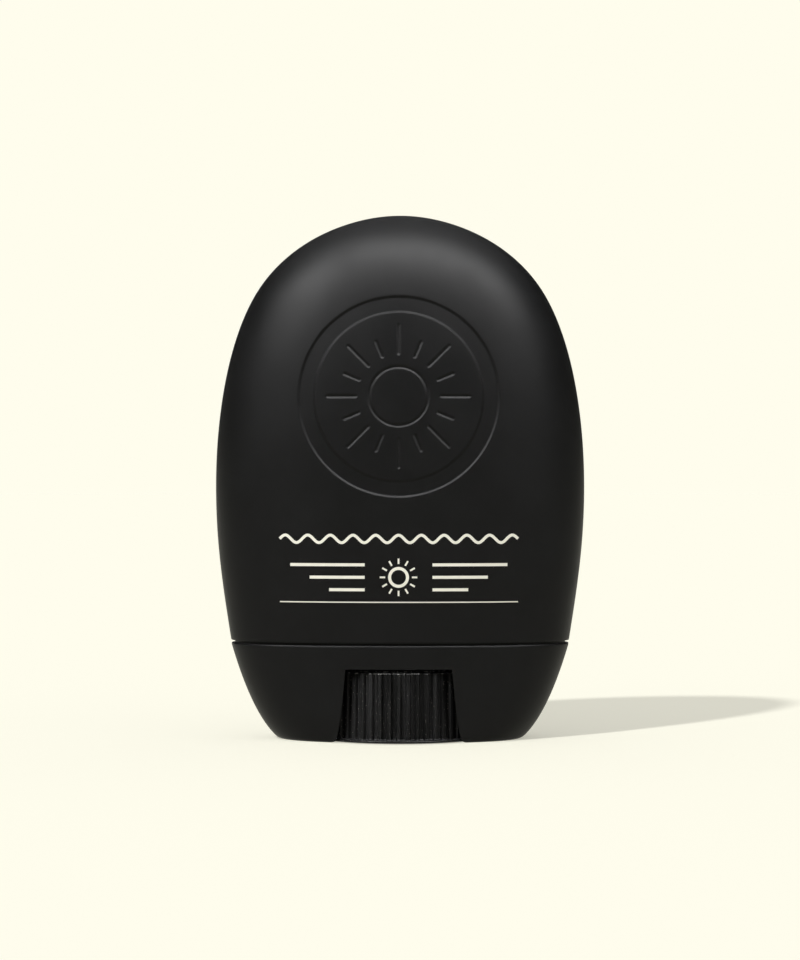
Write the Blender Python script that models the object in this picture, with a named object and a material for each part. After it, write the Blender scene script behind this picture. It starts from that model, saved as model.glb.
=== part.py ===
"""Oval wind-up sunscreen stick: cap, inner liner, seal cover, balm, carrier, screw, barrel, base and wheel.

Metres, +Z up. The origin is the middle of the face that the stick stands on. X runs across the wide
front, and the front faces -Y. The stick is closed, with the carrier wound all the way down.
"""

import math

import bmesh
import bpy
import numpy as np

# Whole stick
HEIGHT = 0.0600
HALF_WIDTH = 0.0212
HALF_DEPTH = 0.0097
SEAM_HEIGHT = 0.01136
OVAL_POWER = 2.2
OVAL_SIDES = 48
ROUND_SIDES = 24
CLEAN_DIGITS = 12

# Clearances
SEAT_GAP = 0.0003
RUNNING_GAP = 0.0003
OVERRUN = 0.0020

# Outline of the cap, as shares of the half width and of the height, from the top to the seam.
CROWN_SHARES = (
    (0.0, 1.0),
    (0.2925, 0.9827),
    (0.5528, 0.9367),
    (0.7505, 0.8675),
    (0.8792, 0.7755),
    (0.9599, 0.6603),
    (1.0, 0.4817),
    (0.9858, 0.3667),
)
SEAM_WIDTH_SHARE = 0.9127
CAP_RINGS = 15
CAP_INSIDE_RINGS = 12
TIP_SHARE = 0.02

# Cap shell and the liner inside it
CAP_WALL = 0.0011
CAP_TOP_WALL = 0.0015
LINER_WALL = 0.0007
LINER_HEIGHT = 0.0186
LINER_LEAD_IN = 0.0003

# Base shell
SEAM_GROOVE = 0.00046
RIM_LIP_INSET = 0.0003
FOOT_HALF_WIDTH = 0.01398
FOOT_HALF_DEPTH = 0.0084
FOOT_ROUND = 0.0005
FOOT_ROUND_RINGS = 3
PULL_HALF_WIDTH = 0.01697
PULL_HALF_DEPTH = 0.00855
PULL_HEIGHT = 0.0025
BASE_WALL = 0.0012
BASE_FLOOR = 0.0012
DECK_THICKNESS = 0.0010
BASE_RINGS = 7

# Thumbwheel and its pocket
WHEEL_RADIUS = 0.0099
WHEEL_BOTTOM = 0.0002
WHEEL_HEIGHT = 0.0077
WHEEL_SIDE_GAP = 0.00045
WHEEL_HEAD_GAP = 0.00053
WHEEL_PLATE = 0.0012
WHEEL_RIM = 0.0014
WHEEL_DRAFT = 0.0001
WHEEL_CHAMFER = 0.0002
RIB_COUNT = 52
RIB_DEPTH = 0.00045
RIB_SHAPE_SHARES = ((-0.36, 0.0), (-0.17, 1.0), (0.17, 1.0), (0.36, 0.0))
FLANGE_HEIGHT = 0.0004
FLANGE_PROUD = 0.00085
BOSS_WALL = 0.0009
BOSS_LENGTH = 0.0056

# Barrel
BARREL_BELOW_CROWN = 0.0170
BARREL_WALL = 0.0009
BARREL_FLOOR = 0.0010
BEAD_OFFSET = 0.0040
BEAD_HEIGHT = 0.0008
BEAD_PROUD = 0.00015

# Lead screw
CORE_RADIUS = 0.0015
THREAD_RADIUS = 0.0022
LEAD = 0.0030
CREST_WIDTH = 0.0007
FLANK_WIDTH = 0.0006
COLLAR_GRIP = 0.0009
COLLAR_THICKNESS = 0.0008
SCREW_TOP_MARGIN = 0.0015
KEY_SIDE = 0.0026
SNAP_GRIP = 0.0003
SNAP_HEIGHT = 0.0008

# Carrier
CARRIER_PLATE = 0.0009
CARRIER_WALL = 0.0008
CARRIER_SKIRT = 0.0040
NUT_WALL = 0.0009
NUT_HEIGHT = 0.0050

# Balm and the seal cover over it
BALM_DOME = 0.0085
DOME_POWER = 2.4
DOME_RINGS = 6
SEAL_WALL = 0.0006
SEAL_FLANGE = 0.0008

# Places that follow from the sizes above
MOUTH_HALF_WIDTH = HALF_WIDTH * SEAM_WIDTH_SHARE
MOUTH_HALF_DEPTH = HALF_DEPTH * SEAM_WIDTH_SHARE
CAP_IN_WIDTH_SHARE = 1 - CAP_WALL / HALF_WIDTH
CAP_IN_DEPTH_SHARE = 1 - CAP_WALL / HALF_DEPTH
LINER_HALF_WIDTH = MOUTH_HALF_WIDTH * CAP_IN_WIDTH_SHARE - SEAT_GAP
LINER_HALF_DEPTH = MOUTH_HALF_DEPTH * CAP_IN_DEPTH_SHARE - SEAT_GAP
NECK_HALF_WIDTH = LINER_HALF_WIDTH - LINER_WALL - RUNNING_GAP
NECK_HALF_DEPTH = LINER_HALF_DEPTH - LINER_WALL - RUNNING_GAP
BORE_HALF_WIDTH = NECK_HALF_WIDTH - BARREL_WALL
BORE_HALF_DEPTH = NECK_HALF_DEPTH - BARREL_WALL
LOAD_HALF_WIDTH = BORE_HALF_WIDTH - RUNNING_GAP
LOAD_HALF_DEPTH = BORE_HALF_DEPTH - RUNNING_GAP
SHOULDER_HEIGHT = SEAM_HEIGHT - SEAT_GAP
RIM_HEIGHT = SEAM_HEIGHT - SEAM_GROOVE
WHEEL_TOP = WHEEL_BOTTOM + WHEEL_HEIGHT
POCKET_RADIUS = WHEEL_RADIUS + WHEEL_SIDE_GAP
POCKET_HEIGHT = WHEEL_TOP + WHEEL_HEAD_GAP
DECK_TOP = POCKET_HEIGHT + DECK_THICKNESS
BARREL_BOTTOM = DECK_TOP + SEAT_GAP
BARREL_FLOOR_TOP = BARREL_BOTTOM + BARREL_FLOOR
COLLAR_BOTTOM = BARREL_FLOOR_TOP + RUNNING_GAP
COLLAR_TOP = COLLAR_BOTTOM + COLLAR_THICKNESS
CARRIER_BOTTOM = COLLAR_TOP + RUNNING_GAP
CARRIER_TOP = CARRIER_BOTTOM + CARRIER_PLATE
SKIRT_TOP = CARRIER_TOP + CARRIER_SKIRT
NUT_TOP = CARRIER_TOP + NUT_HEIGHT
NUT_RADIUS = THREAD_RADIUS + RUNNING_GAP + NUT_WALL
BARREL_TOP = HEIGHT - BARREL_BELOW_CROWN
SCREW_TOP = BARREL_TOP - SCREW_TOP_MARGIN
JOURNAL_RADIUS = THREAD_RADIUS
HUB_HOLE_RADIUS = JOURNAL_RADIUS + RUNNING_GAP
COLLAR_RADIUS = HUB_HOLE_RADIUS + COLLAR_GRIP
KEY_CORNER = KEY_SIDE / math.sqrt(2)
SOCKET_CORNER = KEY_CORNER + SEAT_GAP * math.sqrt(2)
SNAP_RADIUS = KEY_SIDE / 2 + SEAT_GAP + SNAP_GRIP
BOSS_RADIUS = SOCKET_CORNER + BOSS_WALL
BOSS_BOTTOM = WHEEL_TOP - BOSS_LENGTH


def clear_scene():
    """Empty the file of the objects that it opened with."""
    for old in list(bpy.data.objects):
        bpy.data.objects.remove(old, do_unlink=True)


def principled(name, colour, roughness, metallic=0.0):
    """A plain Principled material in one colour."""
    material = bpy.data.materials.new(name)
    material.use_nodes = True
    shader = material.node_tree.nodes["Principled BSDF"]
    shader.inputs["Base Color"].default_value = (*colour, 1.0)
    shader.inputs["Roughness"].default_value = roughness
    shader.inputs["Metallic"].default_value = metallic
    material.diffuse_color = (*colour, 1.0)
    return material


def smooth_curve(points, count):
    """Points along a smooth curve through the given ones, flat at the first and free at the last."""
    points = np.array(points, float)
    chords = np.linalg.norm(np.diff(points, axis=0), axis=1)
    knots = np.concatenate(([0.0], np.cumsum(chords)))
    size = len(points)
    system = np.zeros((size, size))
    right = np.zeros((size, 2))
    system[0, 0] = 1.0
    right[0] = (1.0, 0.0)
    for i in range(1, size - 1):
        before = chords[i - 1]
        after = chords[i]
        system[i, i - 1 : i + 2] = (after, 2 * (before + after), before)
        slopes = np.diff(points[i - 1 : i + 2], axis=0) / np.array([[before], [after]])
        right[i] = 3 * (after * slopes[0] + before * slopes[1])
    system[-1, -2:] = (1.0, 2.0)
    right[-1] = 3 * (points[-1] - points[-2]) / chords[-1]
    tangents = np.linalg.solve(system, right)
    along = np.linspace(0.0, knots[-1], count)
    piece = np.clip(np.searchsorted(knots, along, side="right") - 1, 0, size - 2)
    span = chords[piece][:, None]
    u = (along[:, None] - knots[piece][:, None]) / span
    return (
        (2 * u**3 - 3 * u**2 + 1) * points[piece]
        + (u**3 - 2 * u**2 + u) * span * tangents[piece]
        + (3 * u**2 - 2 * u**3) * points[piece + 1]
        + (u**3 - u**2) * span * tangents[piece + 1]
    )


def cap_outline(count):
    """(half width, height) down the outside of the cap, from its top to the seam."""
    corners = [(w * HALF_WIDTH, z * HEIGHT) for w, z in CROWN_SHARES]
    corners.append((MOUTH_HALF_WIDTH, SEAM_HEIGHT))
    return smooth_curve(corners, count)


def pulled_curve(start, pull, end, first, count):
    """Points on the curve that leaves its start towards the pull and comes to its end from there."""
    t = np.linspace(first, 1.0, count)[:, None]
    return (1 - t) ** 2 * start + 2 * t * (1 - t) * pull + t**2 * end


def base_outline(count):
    """(half width, half depth, height) up the side of the base, from its rounded foot to its rim."""
    foot = np.array([FOOT_HALF_WIDTH, FOOT_HALF_DEPTH, 0.0])
    pull = np.array([PULL_HALF_WIDTH, PULL_HALF_DEPTH, PULL_HEIGHT])
    rim = np.array([MOUTH_HALF_WIDTH, MOUTH_HALF_DEPTH, RIM_HEIGHT])
    round_share = FOOT_ROUND / 2 / np.linalg.norm(pull - foot)
    return pulled_curve(foot, pull, rim, round_share, count)


def foot_outline(top):
    """The rounded edge under the base, from the flat it stands on to the first point of its side."""
    corner = np.array([FOOT_HALF_WIDTH, FOOT_HALF_DEPTH, 0.0])
    flat = corner - np.array([FOOT_ROUND, FOOT_ROUND, 0.0])
    return pulled_curve(flat, corner, top, 0.0, FOOT_ROUND_RINGS + 1)[:-1]


def base_half_sizes(height):
    """(half width, half depth) of the outside of the base at a height."""
    outline = base_outline(200)
    return tuple(np.interp(height, outline[:, 2], outline[:, side]) for side in (0, 1))


def unit_circle(sides, first=0.0):
    """Cosines and sines of equal steps round a turn, exactly zero where they cross the axes."""
    turn = (np.arange(sides) + first) * math.tau / sides
    return np.round(np.cos(turn), CLEAN_DIGITS), np.round(np.sin(turn), CLEAN_DIGITS)


def oval(half_width, half_depth, height, sides=OVAL_SIDES):
    """A ring of points on a slightly squared oval, with points on both of its axes."""
    across, along = unit_circle(sides)
    power = 2 / OVAL_POWER
    x = half_width * np.sign(across) * np.abs(across) ** power
    y = half_depth * np.sign(along) * np.abs(along) ** power
    return np.column_stack((x, y, np.full(sides, height)))


def circle(radius, height, sides=OVAL_SIDES):
    """A ring of points on a circle, half a step off the axes, where an oval has its own points."""
    across, along = unit_circle(sides, 0.5)
    return np.column_stack((radius * across, radius * along, np.full(sides, height)))


def mesh_object(name, points, faces, material=None):
    """An object from points and faces, with its faces turned outwards."""
    mesh = bpy.data.meshes.new(name)
    mesh.from_pydata([tuple(point) for point in points], [], faces)
    work = bmesh.new()
    work.from_mesh(mesh)
    bmesh.ops.recalc_face_normals(work, faces=work.faces)
    work.to_mesh(mesh)
    work.free()
    mesh.shade_smooth()
    mesh.set_sharp_from_angle(angle=math.radians(35))
    obj = bpy.data.objects.new(name, mesh)
    bpy.context.scene.collection.objects.link(obj)
    if material is None:
        obj.hide_render = True
        obj.display_type = "WIRE"
    else:
        mesh.materials.append(material)
    return obj


def skin(name, rings, material=None, loop=False):
    """A solid whose surface runs from ring to ring, and ends in flat fans or meets itself in a loop."""
    sides = len(rings[0])
    points = np.concatenate(rings)
    last = len(rings) if loop else len(rings) - 1
    faces = []
    for ring in range(last):
        low = ring * sides
        high = (ring + 1) % len(rings) * sides
        for i in range(sides):
            j = (i + 1) % sides
            faces.append((low + i, low + j, high + j, high + i))
    if not loop:
        first = len(points)
        top = len(points) - sides
        points = np.vstack((points, (0.0, 0.0, rings[0][0, 2]), (0.0, 0.0, rings[-1][0, 2])))
        for i in range(sides):
            j = (i + 1) % sides
            faces.append((i, j, first))
            faces.append((top + i, top + j, first + 1))
    return mesh_object(name, points, faces, material)


def cut(obj, cutter, operation="DIFFERENCE"):
    """A Boolean modifier on the object."""
    modifier = obj.modifiers.new(operation.lower() + "_" + cutter.name, "BOOLEAN")
    modifier.operation = operation
    modifier.solver = "EXACT"
    modifier.object = cutter


def cap_rings(width_share, depth_share, top, count):
    """Rings down the cap from just below its top, with its sections and its height drawn in by the shares."""
    outline = cap_outline(count + 1)[1:]
    squeeze = (top - SEAM_HEIGHT) / (HEIGHT - SEAM_HEIGHT)
    rings = []
    for half_width, height in outline:
        half_depth = half_width * HALF_DEPTH / HALF_WIDTH
        drawn = SEAM_HEIGHT + (height - SEAM_HEIGHT) * squeeze
        rings.append(oval(half_width * width_share, half_depth * depth_share, drawn))
    return rings


def pole(ring, height):
    """The ring drawn in almost to a point at a height, to close a dome."""
    closed = ring * TIP_SHARE
    closed[:, 2] = height
    return closed


def make_cap_shell(material):
    """Domed outer cap, open at the bottom."""
    outside = cap_rings(1.0, 1.0, HEIGHT, CAP_RINGS)
    ceiling = HEIGHT - CAP_TOP_WALL
    inside = cap_rings(CAP_IN_WIDTH_SHARE, CAP_IN_DEPTH_SHARE, ceiling, CAP_INSIDE_RINGS)
    rings = [pole(inside[0], ceiling), *inside, *reversed(outside), pole(outside[0], HEIGHT)]
    return skin("cap_shell", rings, material)


def make_cap_liner(material):
    """Straight oval sleeve in the cap's mouth, which slides over the neck."""
    top = SEAM_HEIGHT + LINER_HEIGHT
    in_width = LINER_HALF_WIDTH - LINER_WALL
    in_depth = LINER_HALF_DEPTH - LINER_WALL
    rings = [
        oval(LINER_HALF_WIDTH, LINER_HALF_DEPTH, SEAM_HEIGHT),
        oval(LINER_HALF_WIDTH, LINER_HALF_DEPTH, top - LINER_LEAD_IN),
        oval(LINER_HALF_WIDTH - LINER_LEAD_IN, LINER_HALF_DEPTH - LINER_LEAD_IN, top),
        oval(in_width, in_depth, top),
        oval(in_width, in_depth, SEAM_HEIGHT + LINER_LEAD_IN),
        oval(in_width + LINER_LEAD_IN, in_depth + LINER_LEAD_IN, SEAM_HEIGHT),
    ]
    return skin("cap_liner", rings, material, loop=True)


def dome_rings(half_width, half_depth, bottom, rise):
    """Rings up a low oval dome, without its top point."""
    rings = []
    for step in range(DOME_RINGS):
        share = math.sin(step / DOME_RINGS * math.pi / 2)
        drawn = math.sqrt(1 - share**DOME_POWER)
        rings.append(oval(half_width * drawn, half_depth * drawn, bottom + rise * share))
    return rings


def make_seal_cover(material):
    """Thin domed cover that sits on the barrel's mouth, over the fresh balm."""
    bottom = BARREL_TOP + SEAT_GAP
    flange_top = bottom + SEAL_FLANGE
    under = dome_rings(BORE_HALF_WIDTH, BORE_HALF_DEPTH, bottom, BALM_DOME)
    over_width = BORE_HALF_WIDTH + SEAL_WALL
    over_depth = BORE_HALF_DEPTH + SEAL_WALL
    over = dome_rings(over_width, over_depth, flange_top, BALM_DOME + SEAL_WALL - SEAL_FLANGE)
    rings = [
        pole(under[-1], bottom + BALM_DOME),
        *reversed(under),
        oval(NECK_HALF_WIDTH, NECK_HALF_DEPTH, bottom),
        oval(NECK_HALF_WIDTH, NECK_HALF_DEPTH, flange_top),
        *over,
        pole(over[-1], bottom + BALM_DOME + SEAL_WALL),
    ]
    return skin("seal_cover", rings, material)


def make_balm(material):
    """Oval stick of balm with a domed top, stepped in at the skirt, and bored for the nut and the screw."""
    bottom = CARRIER_TOP + SEAT_GAP
    step = SKIRT_TOP + SEAT_GAP
    held_width = LOAD_HALF_WIDTH - CARRIER_WALL - SEAT_GAP
    held_depth = LOAD_HALF_DEPTH - CARRIER_WALL - SEAT_GAP
    nut_bore = NUT_RADIUS + SEAT_GAP
    nut_bore_top = NUT_TOP + SEAT_GAP
    screw_bore = THREAD_RADIUS + RUNNING_GAP
    dome = dome_rings(LOAD_HALF_WIDTH, LOAD_HALF_DEPTH, BARREL_TOP, BALM_DOME)
    rings = [
        circle(screw_bore, SCREW_TOP + RUNNING_GAP),
        circle(screw_bore, nut_bore_top),
        circle(nut_bore, nut_bore_top),
        circle(nut_bore, bottom),
        oval(held_width, held_depth, bottom),
        oval(held_width, held_depth, step),
        oval(LOAD_HALF_WIDTH, LOAD_HALF_DEPTH, step),
        *dome,
        pole(dome[-1], BARREL_TOP + BALM_DOME),
    ]
    return skin("balm", rings, material)


def thread(name, core, crest, crest_width, bottom, top, material=None):
    """A rod with a right-hand screw thread, cut square at a bottom and a top.

    At the +X side its crests lie at whole multiples of the lead above the origin, so a tap made the same
    way, only larger, is in step with the rod.
    """
    root_width = LEAD - crest_width - 2 * FLANK_WIDTH
    steps = ((0.0, core), (root_width, core), (root_width + FLANK_WIDTH, crest))
    steps += ((root_width + FLANK_WIDTH + crest_width, crest),)
    turns = math.ceil((top - bottom) / LEAD) + 3
    start = (math.floor(bottom / LEAD) - 2) * LEAD + FLANK_WIDTH + crest_width / 2
    column = [(start + turn * LEAD + rise, radius) for turn in range(turns) for rise, radius in steps]
    column.append((start + turns * LEAD, core))
    heights, radii = np.array(column).T
    points = []
    for side in range(ROUND_SIDES):
        turn = side * math.tau / ROUND_SIDES
        climb = LEAD * side / ROUND_SIDES
        points.append(np.column_stack((radii * math.cos(turn), radii * math.sin(turn), heights + climb)))
    rows = len(column)
    shift = len(steps)
    extra = np.column_stack((radii[-shift:], np.zeros(shift), heights[-shift:] + LEAD))
    points = np.concatenate((*points, extra))
    closing = ROUND_SIDES * rows
    seam = [row + shift if row + shift < rows else closing + row + shift - rows for row in range(rows)]
    faces = []
    for side in range(ROUND_SIDES):
        near = [side * rows + row for row in range(rows)]
        far = [(side + 1) * rows + row for row in range(rows)] if side + 1 < ROUND_SIDES else seam
        faces += [(near[row], far[row], far[row + 1], near[row + 1]) for row in range(rows - 1)]
    low = len(points)
    points = np.vstack((points, (0.0, 0.0, start), (0.0, 0.0, start + (turns + 1) * LEAD)))
    low_rim = [side * rows for side in range(ROUND_SIDES)] + list(range(shift, -1, -1))
    high_rim = [side * rows + rows - 1 for side in range(ROUND_SIDES)]
    high_rim += list(range(closing + shift - 1, closing - 1, -1)) + [rows - 1]
    for rim, centre in ((low_rim, low), (high_rim, low + 1)):
        faces += [(rim[i], rim[i + 1], centre) for i in range(len(rim) - 1)]
    rod = mesh_object(name, points, faces, material)
    trim = skin(
        name + "_trim",
        [circle(crest + OVERRUN, bottom, ROUND_SIDES), circle(crest + OVERRUN, top, ROUND_SIDES)],
    )
    cut(rod, trim, "INTERSECT")
    return rod


def make_carrier(material):
    """Oval cup with a threaded nut, which lifts the balm and can't turn in the oval barrel."""
    inner_width = LOAD_HALF_WIDTH - CARRIER_WALL
    inner_depth = LOAD_HALF_DEPTH - CARRIER_WALL
    pilot = CORE_RADIUS / 2
    rings = [
        circle(pilot, CARRIER_BOTTOM),
        oval(LOAD_HALF_WIDTH, LOAD_HALF_DEPTH, CARRIER_BOTTOM),
        oval(LOAD_HALF_WIDTH, LOAD_HALF_DEPTH, SKIRT_TOP),
        oval(inner_width, inner_depth, SKIRT_TOP),
        oval(inner_width, inner_depth, CARRIER_TOP),
        circle(NUT_RADIUS, CARRIER_TOP),
        circle(NUT_RADIUS, NUT_TOP),
        circle(pilot, NUT_TOP),
    ]
    carrier = skin("elevator", rings, material, loop=True)
    tap = thread(
        "tap",
        CORE_RADIUS + RUNNING_GAP,
        THREAD_RADIUS + RUNNING_GAP,
        CREST_WIDTH + 2 * RUNNING_GAP,
        CARRIER_BOTTOM - OVERRUN,
        NUT_TOP + OVERRUN,
    )
    cut(carrier, tap)
    return carrier


def make_lead_screw(material):
    """Threaded spindle with a collar over the barrel's floor, a journal, a square key and a snap end."""
    key_bottom = BOSS_BOTTOM - SEAT_GAP
    key_top = POCKET_HEIGHT - SEAT_GAP
    snap_bottom = key_bottom - SNAP_HEIGHT
    screw = skin(
        "lead_screw",
        [
            circle(JOURNAL_RADIUS, key_top, ROUND_SIDES),
            circle(JOURNAL_RADIUS, COLLAR_BOTTOM, ROUND_SIDES),
            circle(COLLAR_RADIUS, COLLAR_BOTTOM, ROUND_SIDES),
            circle(COLLAR_RADIUS, COLLAR_TOP, ROUND_SIDES),
            circle(CORE_RADIUS, COLLAR_TOP, ROUND_SIDES),
            circle(CORE_RADIUS, COLLAR_TOP + LEAD / 2, ROUND_SIDES),
        ],
        material,
    )
    rod = thread(
        "screw_thread",
        CORE_RADIUS,
        THREAD_RADIUS,
        CREST_WIDTH,
        (COLLAR_BOTTOM + COLLAR_TOP) / 2,
        SCREW_TOP,
    )
    square = [circle(KEY_CORNER, height, 4) for height in (key_bottom, (key_top + COLLAR_BOTTOM) / 2)]
    key = skin("screw_key", square)
    snap = skin(
        "screw_snap",
        [
            circle(CORE_RADIUS - RUNNING_GAP, snap_bottom, ROUND_SIDES),
            circle(SNAP_RADIUS, snap_bottom + SNAP_HEIGHT / 2, ROUND_SIDES),
            circle(SNAP_RADIUS, key_bottom, ROUND_SIDES),
            circle(CORE_RADIUS / 2, key_bottom + SNAP_HEIGHT, ROUND_SIDES),
        ],
    )
    for piece in (rod, key, snap):
        cut(screw, piece, "UNION")
    return screw


def make_barrel(material):
    """Oval tube with a floor, a shoulder that sits in the base and a bead that holds the cap."""
    foot_width, foot_depth = base_half_sizes(BARREL_BOTTOM)
    rim_width = MOUTH_HALF_WIDTH - BASE_WALL - SEAT_GAP
    rim_depth = MOUTH_HALF_DEPTH - BASE_WALL - SEAT_GAP
    foot_inset = BASE_WALL + SEAT_GAP
    bead = SHOULDER_HEIGHT + BEAD_OFFSET
    rings = [
        circle(HUB_HOLE_RADIUS, BARREL_BOTTOM),
        oval(foot_width - foot_inset, foot_depth - foot_inset, BARREL_BOTTOM),
        oval(rim_width, rim_depth, RIM_HEIGHT),
        oval(rim_width, rim_depth, SHOULDER_HEIGHT),
        oval(NECK_HALF_WIDTH, NECK_HALF_DEPTH, SHOULDER_HEIGHT),
        oval(NECK_HALF_WIDTH, NECK_HALF_DEPTH, bead),
        oval(NECK_HALF_WIDTH + BEAD_PROUD, NECK_HALF_DEPTH + BEAD_PROUD, bead + BEAD_HEIGHT / 2),
        oval(NECK_HALF_WIDTH, NECK_HALF_DEPTH, bead + BEAD_HEIGHT),
        oval(NECK_HALF_WIDTH, NECK_HALF_DEPTH, BARREL_TOP),
        oval(BORE_HALF_WIDTH, BORE_HALF_DEPTH, BARREL_TOP),
        oval(BORE_HALF_WIDTH, BORE_HALF_DEPTH, BARREL_FLOOR_TOP),
        circle(HUB_HOLE_RADIUS, BARREL_FLOOR_TOP),
    ]
    return skin("barrel", rings, material, loop=True)


def make_base_shell(material):
    """Tapered oval base with a round wheel pocket that opens at the front, the back and the bottom."""
    outline = base_outline(BASE_RINGS)
    rings = [oval(*sizes) for sizes in (*foot_outline(outline[0]), *outline)]
    lip_width = MOUTH_HALF_WIDTH - RIM_LIP_INSET
    lip_depth = MOUTH_HALF_DEPTH - RIM_LIP_INSET
    rings.append(oval(lip_width, lip_depth, RIM_HEIGHT))
    rings.append(oval(lip_width, lip_depth, SHOULDER_HEIGHT))
    shell = skin("base_shell", rings, material)

    hollow = []
    floor_width, floor_depth = base_half_sizes(BASE_FLOOR)
    hollow.append(oval(floor_width - BASE_WALL, floor_depth - BASE_WALL, BASE_FLOOR))
    for half_width, half_depth, height in outline:
        if height > BASE_FLOOR:
            hollow.append(oval(half_width - BASE_WALL, half_depth - BASE_WALL, height))
    above = SHOULDER_HEIGHT + OVERRUN
    hollow.append(oval(MOUTH_HALF_WIDTH - BASE_WALL, MOUTH_HALF_DEPTH - BASE_WALL, above))
    cavity = skin("base_cavity", hollow)
    drum_radius = POCKET_RADIUS + BASE_WALL
    drum = skin("pocket_drum", [circle(drum_radius, -OVERRUN), circle(drum_radius, DECK_TOP)])
    cut(cavity, drum)
    pocket = skin("wheel_pocket", [circle(POCKET_RADIUS, -OVERRUN), circle(POCKET_RADIUS, POCKET_HEIGHT)])
    hole_ends = (POCKET_HEIGHT - DECK_THICKNESS, DECK_TOP + OVERRUN)
    hole = skin("hub_hole", [circle(HUB_HOLE_RADIUS, height, ROUND_SIDES) for height in hole_ends])
    for cutter in (cavity, pocket, hole):
        cut(shell, cutter)
    return shell


def rib_ring(root, depth, height):
    """A ring of points round the wheel, with one low rounded rib for each pitch."""
    points = []
    for rib in range(RIB_COUNT):
        for place, rise in RIB_SHAPE_SHARES:
            turn = (rib + place) * math.tau / RIB_COUNT
            radius = root + depth * rise
            points.append((radius * math.cos(turn), radius * math.sin(turn), height))
    return np.array(points)


def make_thumbwheel(material):
    """Ribbed wheel with a plain bottom flange, hollow underneath, with a boss that takes the square key."""
    root = WHEEL_RADIUS - FLANGE_PROUD - RIB_DEPTH
    rib_foot = WHEEL_BOTTOM + FLANGE_HEIGHT
    wheel = skin(
        "thumbwheel",
        [
            rib_ring(WHEEL_RADIUS, 0.0, WHEEL_BOTTOM),
            rib_ring(WHEEL_RADIUS, 0.0, rib_foot),
            rib_ring(root, RIB_DEPTH, rib_foot),
            rib_ring(root - WHEEL_DRAFT, RIB_DEPTH, WHEEL_TOP - WHEEL_CHAMFER),
            rib_ring(root - WHEEL_DRAFT - WHEEL_CHAMFER, RIB_DEPTH, WHEEL_TOP),
        ],
        material,
    )
    ceiling = WHEEL_TOP - WHEEL_PLATE
    hollow_radius = root - WHEEL_DRAFT - WHEEL_RIM
    hollow = skin(
        "wheel_hollow",
        [
            circle(BOSS_RADIUS, ceiling),
            circle(BOSS_RADIUS, BOSS_BOTTOM),
            circle(BOSS_RADIUS / 2, BOSS_BOTTOM),
            circle(BOSS_RADIUS / 2, WHEEL_BOTTOM - OVERRUN),
            circle(hollow_radius, WHEEL_BOTTOM - OVERRUN),
            circle(hollow_radius, ceiling),
        ],
        loop=True,
    )
    cut(wheel, hollow)
    ends = (WHEEL_BOTTOM - OVERRUN, WHEEL_TOP + OVERRUN)
    socket = skin("key_socket", [circle(SOCKET_CORNER, height, 4) for height in ends])
    cut(wheel, socket)
    return wheel


def main():
    clear_scene()
    soft_black = principled("soft_touch_black", (0.012, 0.012, 0.012), 0.5)
    gloss_black = principled("moulded_black", (0.015, 0.015, 0.015), 0.35)
    liner_grey = principled("liner_grey", (0.08, 0.08, 0.08), 0.4)
    clear_white = principled("seal_white", (0.85, 0.85, 0.83), 0.35)
    cream = principled("balm_cream", (0.86, 0.82, 0.72), 0.45)
    natural = principled("carrier_white", (0.8, 0.8, 0.78), 0.4)

    make_base_shell(soft_black)
    make_barrel(gloss_black)
    wheel = make_thumbwheel(gloss_black)
    screw = make_lead_screw(natural)
    carrier = make_carrier(natural)
    balm = make_balm(cream)
    seal = make_seal_cover(clear_white)
    shell = make_cap_shell(soft_black)
    liner = make_cap_liner(liner_grey)

    screw.parent = wheel
    balm.parent = carrier
    seal.parent = carrier
    liner.parent = shell


main()
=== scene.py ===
# %% [markdown]
# # An oval sunscreen stick
#
# This lesson dresses a small wind-up stick. Its working parts come ready made as solids: a domed cap,
# a tapered base, a ribbed wheel and, inside them, a barrel, a screw and the balm. Each visible part gets
# a finer surface here, and each gets a finish. The solids stay in place as the frame that all of it fits.

import math

import bpy
import numpy as np
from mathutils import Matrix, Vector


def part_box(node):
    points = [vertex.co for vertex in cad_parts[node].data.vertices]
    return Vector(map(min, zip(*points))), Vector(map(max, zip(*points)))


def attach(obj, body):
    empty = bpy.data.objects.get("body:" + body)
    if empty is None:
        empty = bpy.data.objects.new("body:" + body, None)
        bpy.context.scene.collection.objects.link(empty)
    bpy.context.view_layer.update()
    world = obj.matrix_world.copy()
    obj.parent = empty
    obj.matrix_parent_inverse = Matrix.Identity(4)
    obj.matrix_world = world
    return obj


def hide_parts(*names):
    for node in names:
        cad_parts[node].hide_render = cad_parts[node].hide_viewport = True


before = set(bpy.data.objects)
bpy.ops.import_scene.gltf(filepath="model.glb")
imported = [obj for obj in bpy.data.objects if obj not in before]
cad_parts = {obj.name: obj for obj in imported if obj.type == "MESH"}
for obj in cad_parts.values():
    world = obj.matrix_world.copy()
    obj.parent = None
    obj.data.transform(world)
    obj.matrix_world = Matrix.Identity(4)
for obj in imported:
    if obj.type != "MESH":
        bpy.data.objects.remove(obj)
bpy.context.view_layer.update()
print("solids:", ", ".join(sorted(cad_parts)))

# %% [markdown]
# ## The view
#
# A product photograph is taken from some way off with a long lens, so that the sides don't lean. The seam
# still sags a little in the picture, and the underside of the foot curves down, and from those two the
# distance follows. The camera looks level, from a height just above the middle of the stick, and stands one
# degree to the right, because the wheel shows a little left of the middle.

# %% Camera
CAMERA_DISTANCE = 0.343
CAMERA_HEIGHT = 0.0296
CAMERA_TURN = math.radians(1.0)
CAMERA_LENS = 111.75
CAMERA_SENSOR = 36.0
CAMERA_NEAR = 0.01


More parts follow.
